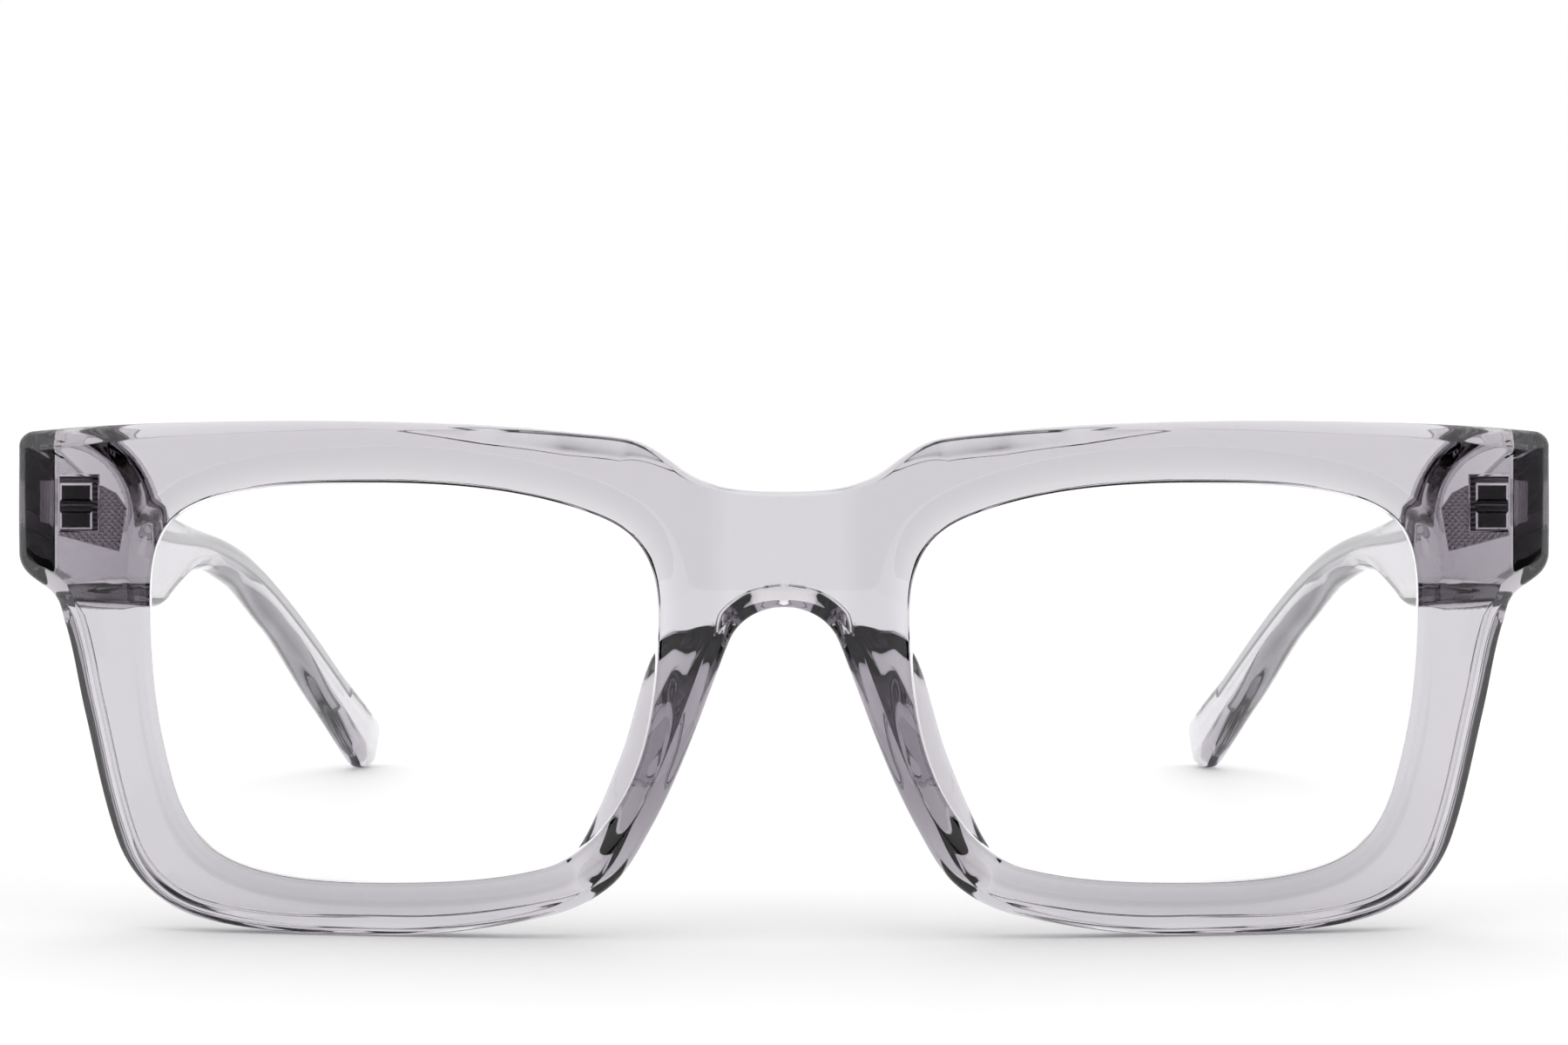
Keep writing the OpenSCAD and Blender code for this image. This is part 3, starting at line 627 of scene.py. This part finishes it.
# %% [markdown]
# ## Lenses
# A spectacle lens is a thin shell with a pointed edge that snaps into the rim's groove. It is built
# from rings: copies of the opening's outline that shrink to the middle of the lens on both faces.
# So its edge follows the rim exactly, which a cut-out disc would not.

# %% Lens rings
def lens_ring(share, deep, out):
    """Ring of a lens: the opening's outline moved out by some millimetres, shrunk to the middle by a share,
    at the seat's depth plus its own, and less deep by the bulge times one minus the share squared."""
    rim = fine_opening[:-1:2]
    edge = rim[:, :2] + out * aim(rim[:, 2] + 90)
    place = np.array([eye_x, eye_z]) + share * (edge - [eye_x, eye_z])
    depth = face_y(*place.T) + seat_d + deep - lens_bulge * (1 - share * share)
    return np.column_stack([place, depth])


def tube(loops):
    """Closed shell over a row of equally long loops: quads between them and one face at each end."""
    rows, columns = loops.shape[:2]
    faces = loop_quads(rows, columns, False, True).reshape(-1, 4).tolist()
    faces.append(list(range(columns)))
    faces.append(list(range((rows - 1) * columns, rows * columns)))
    return loops.reshape(-1, 3), faces


lens_half = lens_t / 2
face_shares = np.sin(np.linspace(0.02, 0.5, 22) * np.pi)
edge_rings = [(0.03 - lens_half, -0.08), (0.07 - groove_half, -0.06), (0.05 - groove_half, -0.02),
              (-0.03, lens_reach - 0.03)]
lens_loops = [lens_ring(share, -lens_half, -0.15) for share in face_shares]
lens_loops += [lens_ring(1, deep, out) for deep, out in edge_rings]
lens_loops += [lens_ring(1, -deep, out) for deep, out in edge_rings[::-1]]
lens_loops += [lens_ring(share, lens_half, -0.15) for share in face_shares[::-1]]
lenses = both_sides("lens_{}_clear", [tube(np.array(lens_loops))])

# %% [markdown]
# ## Temples
# Seen from the side a temple is broad in front, drops to a slim neck and swells to a rounded tip.
# Its upper and lower edges are two paths with equally many points; each pair of points carries one
# rounded section. From above the temple runs straight and then bows in towards the head.

# %% Temple edges
tip_along, tip_up = temple_l - 10.1, -13.7
tip_fall = np.arctan2(tip_up, tip_along)
slope = np.degrees(tip_fall - np.arcsin((tip_h / 2 - butt_z) / np.hypot(tip_along, tip_up)))


def side_node(along, up, heading):
    """Node of the temple's side view, turned down by the slope that brings the tip to the table."""
    ahead, above = aim(slope)
    y, z = end_d + butt_gap + along * ahead + up * above, butt_z - along * above + up * ahead
    return [y, z, heading - slope]


def side_pair(along, up, high, heading):
    """Upper and lower node on both sides of the middle line, square to its heading."""
    ahead, above = aim(heading) * high / 2
    return [side_node(along - s * above, up + s * ahead, heading) for s in (1, -1)]


ear_pairs = [
    side_pair(temple_l - 79, 2.55, neck_h, 1),
    side_pair(temple_l - 67.3, 2.05, neck_h + 0.3, -5),
    side_pair(temple_l - 50, -1.25, neck_h + 0.9, -12.5),
    side_pair(temple_l - 26.4, -8.4, tip_h - 1, -17.7),
    side_pair(tip_along, tip_up, tip_h, -18.4),
]
top_nodes = [
    [end_d + butt_gap, butt_z + butt_h / 2, -2 - slope],
    side_node(broad_l - 4.4, 4.7, -1.4),
    side_node(broad_l - 0.3, 4.6, -1),
    side_node(broad_l + 5.8, 4.5, -0.5),
    side_node(broad_l + 15, 4.45, 0.3),
] + [pair[0] for pair in ear_pairs]
low_nodes = [
    [end_d + butt_gap, butt_z - butt_h / 2, 0.5 - slope],
    side_node(broad_l - 2.5, -5.75, 6),
    side_node(broad_l + 1.4, -4.85, 23),
    side_node(broad_l + 7.1, -2.6, 21),
    side_node(broad_l + 15, -0.25, 9),
] + [pair[1] for pair in ear_pairs]
pair_steps = [24, 10, 12, 16, 14, 10, 14, 18, 12]


def edge_path(nodes):
    """Points along one edge of the temple, with the same number in each arc for both edges."""
    arcs = [arc_between(p, q, n) for p, q, n in zip(nodes[:-1], nodes[1:], pair_steps)]
    return np.concatenate(arcs + [np.array([nodes[-1]])])


top_edge, low_edge = edge_path(top_nodes), edge_path(low_nodes)
print("temple stations:", len(top_edge), "slope", round(float(slope), 2), "degrees")

# %% Temple sections
corner_signs = np.array([[1, 1], [-1, 1], [-1, -1], [1, -1]])
side_shares = np.array([[0.06], [0.35], [0.65], [0.94]])


def thick_at(y):
    """Thickness of the temple at a depth."""
    return temple_t + (ear_t - temple_t) * ease((y - end_d) / (broad_l + 20))


def middle_x(y):
    """Middle of the thickness: straight along the toe-in, then bowed in by the distance squared."""
    bow = np.maximum(0, y - end_d - broad_l) ** 2 / (2 * bow_r)
    return end_x - thick_at(y) / 2 - (y - end_d) * np.tan(np.radians(toe_in)) - bow


def rounded_loops(low, high, thick, radius, shrink=0, shift=0):
    """Rounded rectangles between low and high points: four quarter circles joined by straight sides, which
    get a few points of their own so that they stay flat. They can shrink all round and shift in depth."""
    middle, up = (low + high) / 2, (high - low) / 2
    reach = np.linalg.norm(up, axis=1)[:, None]
    lean = up / reach
    half_w, half_h = np.broadcast_to(thick, (len(low),))[:, None] / 2 - shrink, reach - shrink
    r = np.minimum(np.minimum(np.broadcast_to(radius, (len(low),))[:, None], half_w), half_h)
    straight = np.stack([half_w - r, half_h - r], -1)
    parts = []
    for corner, (here, after) in enumerate(zip(corner_signs, np.roll(corner_signs, -1, 0))):
        arc = r[..., None] * aim(90 * corner + np.linspace(0, 90, 9))
        parts += [straight * here + arc, straight * (here + (after - here) * side_shares) + arc[:, -1:]]
    across, along = np.moveaxis(np.concatenate(parts, 1), -1, 0)
    y = middle[:, :1] + along * lean[:, :1] + shift
    return np.stack([middle_x(y) + across, middle[:, 1:2] + along * lean[:, 1:2], y], -1)


butt_r, butt_soft = 0.8, 0.18


def temple_shell():
    """Closed shell of the wearer's left temple: rounded butt, body sections, and a ball-like tip."""
    low, high = low_edge[:, :2], top_edge[:, :2]
    along = (low[:, 0] + high[:, 0]) / 2
    radius = butt_r + (ear_t / 2 - butt_r) * ease((along - end_d) / 75)
    body = rounded_loops(low, high, thick_at(along), radius)
    body[0, :, 2] += butt_soft
    insets = [(0.6, 0), (0.3, 0)]
    insets += [(butt_soft * (1 - up), butt_soft * (1 - out)) for out, up in aim([0, 22, 45, 68])]
    butt = [rounded_loops(low[:1], high[:1], temple_t, butt_r, *inset) for inset in insets]
    middle = (low[-1] + high[-1]) / 2
    ahead, above = aim(top_edge[-1, 2]), aim(top_edge[-1, 2] + 90)
    tip = []
    for out, up in aim([8, 16, 24, 32, 40, 48, 56, 64, 71, 77, 82, 86]):
        far = middle + tip_h / 2 * up * ahead
        half = tip_h / 2 * out * above
        tip.append(rounded_loops((far - half)[None], (far + half)[None], ear_t * out**0.8, ear_t))
    return tube(np.concatenate([*butt, body, *tip]))


temples = both_sides("acetate_temple_{}", [temple_shell()])

# %% [markdown]
# ## Core wires
# A flat metal wire runs inside each temple and shows through the acetate as a grey band. It is a
# row of rounded bars along its own path, so it keeps its height where the temple changes shape.

# %% Core wires
wire_round, wire_end_inset, wire_end_out = 0.3, 0.15, 0.1
wire_nodes = [
    [base_y + base_l + 0.02, hinge_z - 0.9, -slope],
    side_node(broad_l - 4, 1.9, 0.5),
    side_node(temple_l - 79, 3.1, 0),
    side_node(temple_l - 50, -0.1, -12.5),
    side_node(tip_along + tip_h / 2 - wire_short, -8.6, -17.7),
]


def wire_shell():
    """Closed shell of a core wire: rounded bars square to its path, smaller at both ends."""
    path = run_through(wire_nodes, reach=1.2, turn=2)
    above = aim(path[:, 2] + 90) * wire_h / 2
    low, high = path[:, :2] - above, path[:, :2] + above
    first = rounded_loops(low[:1], high[:1], wire_t, wire_round, wire_end_inset, -wire_end_out)
    last = rounded_loops(low[-1:], high[-1:], wire_t, wire_round, wire_end_inset, wire_end_out)
    return tube(np.concatenate([first, rounded_loops(low, high, wire_t, wire_round), last]))


wires = both_sides("core_wire_{}_bar", [wire_shell()])

# %% [markdown]
# ## Hinges
# The front's hinge is a knurled plate set flush into the end piece, with a raised field, two feet
# that reach into the acetate, and two knuckles behind. All of it shows through the clear front.
# Bars are rounded boxes, knuckles are turned profiles, and the knurls are a grid of small pyramids.

# %% Bars and knuckles
def bar(low, high, bevel=0.08, brow=0):
    """Box between two corners (across, up, depth) with rounded edges: square loops along the depth, smaller
    at both ends by the bevel. The brow is the width of a chamfer round the front end, of 33 degrees."""
    low, high = np.array(low, float), np.array(high, float)
    middle, half = (low + high) / 2, (high - low) / 2
    turn = (90 * np.arange(4)[:, None] + [0, 30, 60, 90]).ravel()
    signs = np.repeat(corner_signs, 4, 0)
    front, back = low[2] + 0.65 * brow, high[2]
    rows = [(bevel + brow, low[2]), (bevel, front), (bevel * 0.3, front + bevel * 0.3), (0, front + bevel),
            (0, back - bevel), (bevel * 0.3, back - bevel * 0.3), (bevel, back)]
    loops = []
    for inset, depth in rows:
        flat = middle[:2] + signs * (half[:2] - bevel - inset) + bevel * aim(turn)
        loops.append(np.column_stack([flat, np.full(len(flat), depth)]))
    return tube(np.array(loops))


def knuckle(low, high, bevel=0.12, sides=48):
    """Turned cylinder on the hinge axis: circles of many sides, smaller by the bevel at both ends."""
    turn = np.linspace(0, 2 * np.pi, sides + 1)[:-1]
    steps = [(bevel, 0), (0.3 * bevel, 0.3 * bevel), (0, bevel)]
    rows = [(knuckle_r - inset, low + up) for inset, up in steps]
    rows += [(knuckle_r - inset, high - up) for inset, up in steps[::-1]]
    loops = [np.column_stack([hinge_x + r * np.cos(turn), np.full(sides, z), hinge_y + r * np.sin(turn)])
             for r, z in rows]
    return tube(np.array(loops))


# %% Knurled plate
plate_low = np.array([[-4.4, -4.3], [1.5, -2.8]])
plate_high = np.array([[-5.15, -0.2], [-4.1, 1.25], [-2.7, 1.95], [1.5, 2.25]])
plate_proud = 0.03


def triangle_wave(s):
    """Twice the distance to the nearest whole number: 0 at whole numbers, 1 in the middle between them."""
    return 2 * np.abs(s - np.round(s))


def knurled_plate(pitch=0.44, height=0.07, columns=150, rows=170):
    """Slab between a lower and an upper edge, both given from the hinge axis. Its front carries pyramids:
    the smaller of two crossed triangle waves, times the height, which fades out at the rim."""
    u, v = np.meshgrid(np.linspace(0, 1, columns), np.linspace(0, 1, rows), indexing="ij")
    x0, x1 = ((1 - u) * edge[0, 0] + u * edge[-1, 0] for edge in (plate_low, plate_high))
    z0, z1 = np.interp(x0, *plate_low.T), np.interp(x1, *plate_high.T)
    x, z = x0 + (x1 - x0) * v, z0 + (z1 - z0) * v
    diagonal = pitch * np.sqrt(2)
    pyramid = np.minimum(triangle_wave((x + z) / diagonal), triangle_wave((x - z) / diagonal))
    fade = ease(np.minimum(np.minimum(u, 1 - u) * columns, np.minimum(v, 1 - v) * rows) / 6)
    place = [hinge_x + x, hinge_z + z]
    front_side = np.stack([*place, plate_front - height * pyramid * fade], -1)
    rear_side = np.stack([*place, np.full_like(x, end_d + plate_proud)], -1)
    quads = loop_quads(columns, rows, False, False).reshape(-1, 4)
    total = columns * rows
    ring = grid_rim(columns, rows)
    rim = np.stack([ring, np.roll(ring, -1), np.roll(ring, -1) + total, ring + total], -1)
    points = np.stack([front_side, rear_side]).reshape(-1, 3)
    return points, np.concatenate([quads, quads[:, ::-1] + total, rim]).tolist()


# %% Front hinges
overlap, metal_brow = 0.1, 0.15
front_metal = [knurled_plate()]
ridges = np.linspace(*field_z, 12)
for low, high in zip(ridges[:-1], ridges[1:]):
    near, far = (field_x[0], low, field_front), (field_x[1], high, plate_front + overlap)
    front_metal.append(bar(near, far, 0.02, metal_brow))
for low, high in foot_z:
    near, far = (foot_x[0], low, foot_front), (foot_x[1], high, field_front + overlap)
    front_metal.append(bar(near, far, 0.04, metal_brow))
for low, high in knuckle_z:
    near, far = (hinge_x - knuckle_r, low, end_d - overlap), (hinge_x + knuckle_r, high, hinge_y)
    front_metal += [bar(near, far), knuckle(low, high)]
front_hinges = both_sides("hinge_front_{}_metal", front_metal, flat=True)

# %% [markdown]
# ## Temple hinges
# The temple's hinge is a base along the inner side of the temple, with toothed feet that reach into
# the acetate and one knuckle that turns between the two of the front. The feet are bars that grow
# longer from tooth to tooth, so a loop makes them.

# %% Temple hinges
tooth_count, tooth_inset, tooth_l = 4, 0.3, 0.6
base_x = float(middle_x(base_y)) - temple_t / 2 - base_proud
base_low, base_high = hinge_z - hinge_half, hinge_z + hinge_half
middle_low, middle_high = hinge_z - middle_h / 2, hinge_z + middle_h / 2
temple_metal = [
    bar((base_x, base_low, base_y), (base_x + base_t, base_high, base_y + base_l)),
    bar((hinge_x - 0.2, middle_low, hinge_y), (base_x + 0.45, middle_high, base_y + 3)),
    knuckle(middle_low, middle_high),
]
for i in range(tooth_count):
    start, reach = base_y + 0.4 + i, base_t + ridge_d * (1 + i) / tooth_count
    near = (base_x + base_t - overlap, base_low + tooth_inset, start)
    temple_metal.append(bar(near, (base_x + reach, base_high - tooth_inset, start + tooth_l), 0.05))
temple_hinges = both_sides("hinge_temple_{}_metal", temple_metal, flat=True)

# %% [markdown]
# ## Wear and polish
# No polished surface is perfect. One node group holds the fine marks that all the materials share:
# faint polishing waves and hair-fine scratches. It gives out a mask for roughness and a height for
# bumps, and each material decides how strongly to use them.

# %% Shared node group
def add_node(tree, kind, values=(), sources=(), **settings):
    """New node in a tree. Values and sources name its inputs, with what is set or linked there."""
    node = tree.nodes.new(kind)
    for name, value in settings.items():
        setattr(node, name, value)
    fill(node, values)
    for name, source in dict(sources).items():
        tree.links.new(source, node.inputs[name])
    return node


def fill(node, values):
    """Sets the inputs of a node by their names."""
    for name, value in dict(values).items():
        node.inputs[name].default_value = value


def polish_marks_group():
    """Group with Scale and Scratches in, and Marks and Height out. Marks are where a stretched noise rises
    past 0.68, and the height is a second noise, the polishing waves, less the marks."""
    group = bpy.data.node_groups.new("polish_marks", "ShaderNodeTree")
    number = "NodeSocketFloat"
    for name, start in (("Scale", 1), ("Scratches", 0.3)):
        group.interface.new_socket(name, in_out="INPUT", socket_type=number).default_value = start
    for name in ("Marks", "Height"):
        group.interface.new_socket(name, in_out="OUTPUT", socket_type=number)
    given = add_node(group, "NodeGroupInput").outputs
    place = add_node(group, "ShaderNodeTexCoord").outputs["Object"]
    by_scale = {0: place, "Scale": given["Scale"]}
    grow = add_node(group, "ShaderNodeVectorMath", {}, by_scale, operation="SCALE")
    grown = {"Vector": grow.outputs[0]}
    waves = add_node(group, "ShaderNodeTexNoise", {"Scale": 90, "Detail": 2}, grown)
    turned = {"Rotation": (0.4, 0.3, 0.6), "Scale": (1, 1, 9)}
    stretch = add_node(group, "ShaderNodeMapping", turned, grown)
    stretched = {"Vector": stretch.outputs[0]}
    lines = add_node(group, "ShaderNodeTexNoise", {"Scale": 420, "Detail": 3}, stretched)
    high = {"Value": lines.outputs["Fac"]}
    thin = add_node(group, "ShaderNodeMapRange", {"From Min": 0.68, "From Max": 0.74}, high)
    both = {0: thin.outputs[0], 1: given["Scratches"]}
    marks = add_node(group, "ShaderNodeMath", {}, both, operation="MULTIPLY").outputs[0]
    less = {0: waves.outputs["Fac"], 1: marks}
    height = add_node(group, "ShaderNodeMath", {}, less, operation="SUBTRACT").outputs[0]
    add_node(group, "NodeGroupOutput", {}, {"Marks": marks, "Height": height})
    return group


polish_marks = polish_marks_group()
print("group:", polish_marks.name, [item.name for item in polish_marks.interface.items_tree])

# %% [markdown]
# ## Materials
# Acetate lets light through, bends it by an index of 1.49, and swallows a little on the way, more
# in thick places: that is what a volume absorption does, and why the frame looks grey, not its
# surface. The lenses are clearer. The hinges are nickel silver.

# %% Materials
def new_material(name):
    """Material with nodes, its Principled shader and its output."""
    material = bpy.data.materials.new(name)
    material.use_nodes = True
    nodes = material.node_tree.nodes
    return material, nodes["Principled BSDF"], nodes["Material Output"]


def add_marks(material, shader, scale, scratches, rough, rough_marks, bump):
    """Puts the shared marks on a shader: roughness rises from one value to another where there are marks,
    and the height feeds a bump of a tenth of a millimetre."""
    tree = material.node_tree
    amount = {"Scale": scale, "Scratches": scratches}
    marks = add_node(tree, "ShaderNodeGroup", amount, node_tree=polish_marks)
    change = {"To Min": rough, "To Max": rough_marks}
    rise = add_node(tree, "ShaderNodeMapRange", change, {"Value": marks.outputs["Marks"]})
    size = {"Strength": bump, "Distance": 0.0001}
    relief = add_node(tree, "ShaderNodeBump", size, {"Height": marks.outputs["Height"]})
    tree.links.new(rise.outputs[0], shader.inputs["Roughness"])
    tree.links.new(relief.outputs[0], shader.inputs["Normal"])


def acetate_material(name, density):
    """Clear crystal-grey acetate: full transmission, and a volume that absorbs most in the green."""
    material, shader, output = new_material(name)
    fill(shader, {"Base Color": (1, 1, 1, 1), "Transmission Weight": 1, "IOR": 1.49})
    add_marks(material, shader, 1, 0.2, 0.0, 0.04, 0.01)
    grey = {"Color": (0.5, 0.46, 0.52, 1), "Density": density}
    inside = add_node(material.node_tree, "ShaderNodeVolumeAbsorption", grey)
    material.node_tree.links.new(inside.outputs[0], output.inputs["Volume"])
    return material


def lens_material():
    """Clear lens with an anti-reflective coating, which is why its mirror image is weak."""
    material, shader, _ = new_material("clear_lens")
    fill(shader, {"Base Color": (1, 1, 1, 1), "Transmission Weight": 1, "IOR": 1.5})
    fill(shader, {"Specular Tint": (0.12, 0.12, 0.12, 1)})
    add_marks(material, shader, 0.6, 0.1, 0.0, 0.03, 0.004)
    return material


def metal_material(name, colour, rough, rough_marks, scratches=0.8, bump=0.1):
    """Full metal with fine marks that change its roughness."""
    material, shader, _ = new_material(name)
    fill(shader, {"Base Color": (*colour, 1), "Metallic": 1})
    add_marks(material, shader, 3, scratches, rough, rough_marks, bump)
    return material


acetate = acetate_material("crystal_grey_acetate", 220)
temple_acetate = acetate_material("crystal_grey_temple_acetate", 150)
lens_glass = lens_material()
hinge_metal = metal_material("nickel_silver_hinge", (0.88, 0.86, 0.84), 0.25, 0.4)
screw_metal = metal_material("bright_screw", (0.74, 0.74, 0.75), 0.12, 0.3)
core_metal = metal_material("core_wire_metal", (0.8, 0.8, 0.82), 0.3, 0.4, 0.2, 0.01)


# %% Pieces, bodies and solids
def dress(piece, material, body, slot, *nodes):
    """Gives a piece its material, lets it ride on a body, and hides the solids it stands for."""
    piece.data.materials.clear()
    piece.data.materials.append(material)
    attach(piece, body)
    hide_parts(*nodes)


dress(front, acetate, "front_frame", "acetate", "front", "nose_pad_left", "nose_pad_right")
for i, side in enumerate(("left", "right")):
    temple_body = side + "_temple"
    dress(lenses[i], lens_glass, "front_frame", "lens", "lens_" + side)
    dress(temples[i], temple_acetate, temple_body, "acetate", "temple_" + side)
    dress(wires[i], core_metal, temple_body, "core_metal", "core_wire_" + side)
    dress(front_hinges[i], hinge_metal, "front_frame", "hinge_metal", "front_hinge_" + side)
    dress(temple_hinges[i], hinge_metal, temple_body, "hinge_metal", "temple_hinge_" + side)
    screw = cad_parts["hinge_screw_" + side]
    screw.data.materials.clear()
    screw.data.materials.append(screw_metal)
print("materials:", [m.name for m in bpy.data.materials if m.users])

# %% [markdown]
# ## Floor and light
# The photo was taken on white, with white light from all round and the dark studio behind the
# camera. That dark side is what draws the black lines in the clear edges. So the world is white,
# but dark in a round patch on the camera's side, and the floor is a plain white plane.

# %% Floor
def floor_piece(size=6.0):
    """Large square at height zero with soft white paint."""
    mesh = bpy.data.meshes.new("floor")
    mesh.from_pydata([(x * size, z * size, 0) for x, z in corner_signs.tolist()], [], [(0, 1, 2, 3)])
    material, shader, _ = new_material("white_floor")
    fill(shader, {"Base Color": (0.97, 0.97, 0.975, 1), "Roughness": 0.6, "Specular IOR Level": 0.1})
    mesh.materials.append(material)
    placed("floor", mesh)


floor_piece()


# %% Overhead light
def overhead_light(strength=0.75, spread=100):
    """Soft light from straight above. It lights all of the floor evenly, and its spread in degrees keeps
    the shadows soft."""
    light = bpy.data.lights.new("overhead", "SUN")
    light.energy = strength
    light.angle = np.radians(spread)
    lamp = placed("overhead", light)
    lamp.location = (0, 0, 1)


overhead_light()


# %% World
def studio_world(to_camera=(0, -0.99, 0.12)):
    """White world. For all but the camera's own rays it is dark within a cone round the direction to the
    camera: the dot product of a direction with the cone's axis runs through a soft step."""
    world = bpy.data.worlds.new("studio")
    bpy.context.scene.world = world
    world.use_nodes = True
    tree = world.node_tree
    way = add_node(tree, "ShaderNodeTexCoord").outputs["Generated"]
    toward = add_node(tree, "ShaderNodeVectorMath", {1: to_camera}, {0: way}, operation="DOT_PRODUCT")
    dark = {"From Min": 0.6, "From Max": 0.85, "To Min": 1.0, "To Max": 0.02}
    cone = add_node(tree, "ShaderNodeMapRange", dark, {"Value": toward.outputs["Value"]},
                    interpolation_type="SMOOTHSTEP")
    direct = add_node(tree, "ShaderNodeLightPath").outputs["Is Camera Ray"]
    seen = add_node(tree, "ShaderNodeMath", {}, {0: direct, 1: cone.outputs[0]}, operation="MAXIMUM")
    tree.links.new(seen.outputs[0], tree.nodes["Background"].inputs["Color"])


studio_world()

# %% [markdown]
# ## Camera
# The photo looks almost straight at the lenses from arm's length, a little from above. The lens
# follows from the focal length in pixels, which the photo's perspective gives.

# %% Camera
photo_w_px, focal_px, sensor_w = 1800, 5467, 36
camera_away, camera_up, camera_tilt = 443.0086, 66.9, 3.546
camera_data = bpy.data.cameras.new("camera")
camera = placed("camera", camera_data)
camera_data.sensor_width = sensor_w
camera_data.lens = sensor_w * focal_px / photo_w_px
camera.location = (0, (-middle_y - camera_away) / mm, camera_up / mm)
camera.rotation_euler = (np.radians(90 - camera_tilt), 0, 0)
bpy.context.scene.camera = camera
print("camera", [round(v, 4) for v in camera.location])

bpy.context.scene.view_settings.view_transform = "Standard"
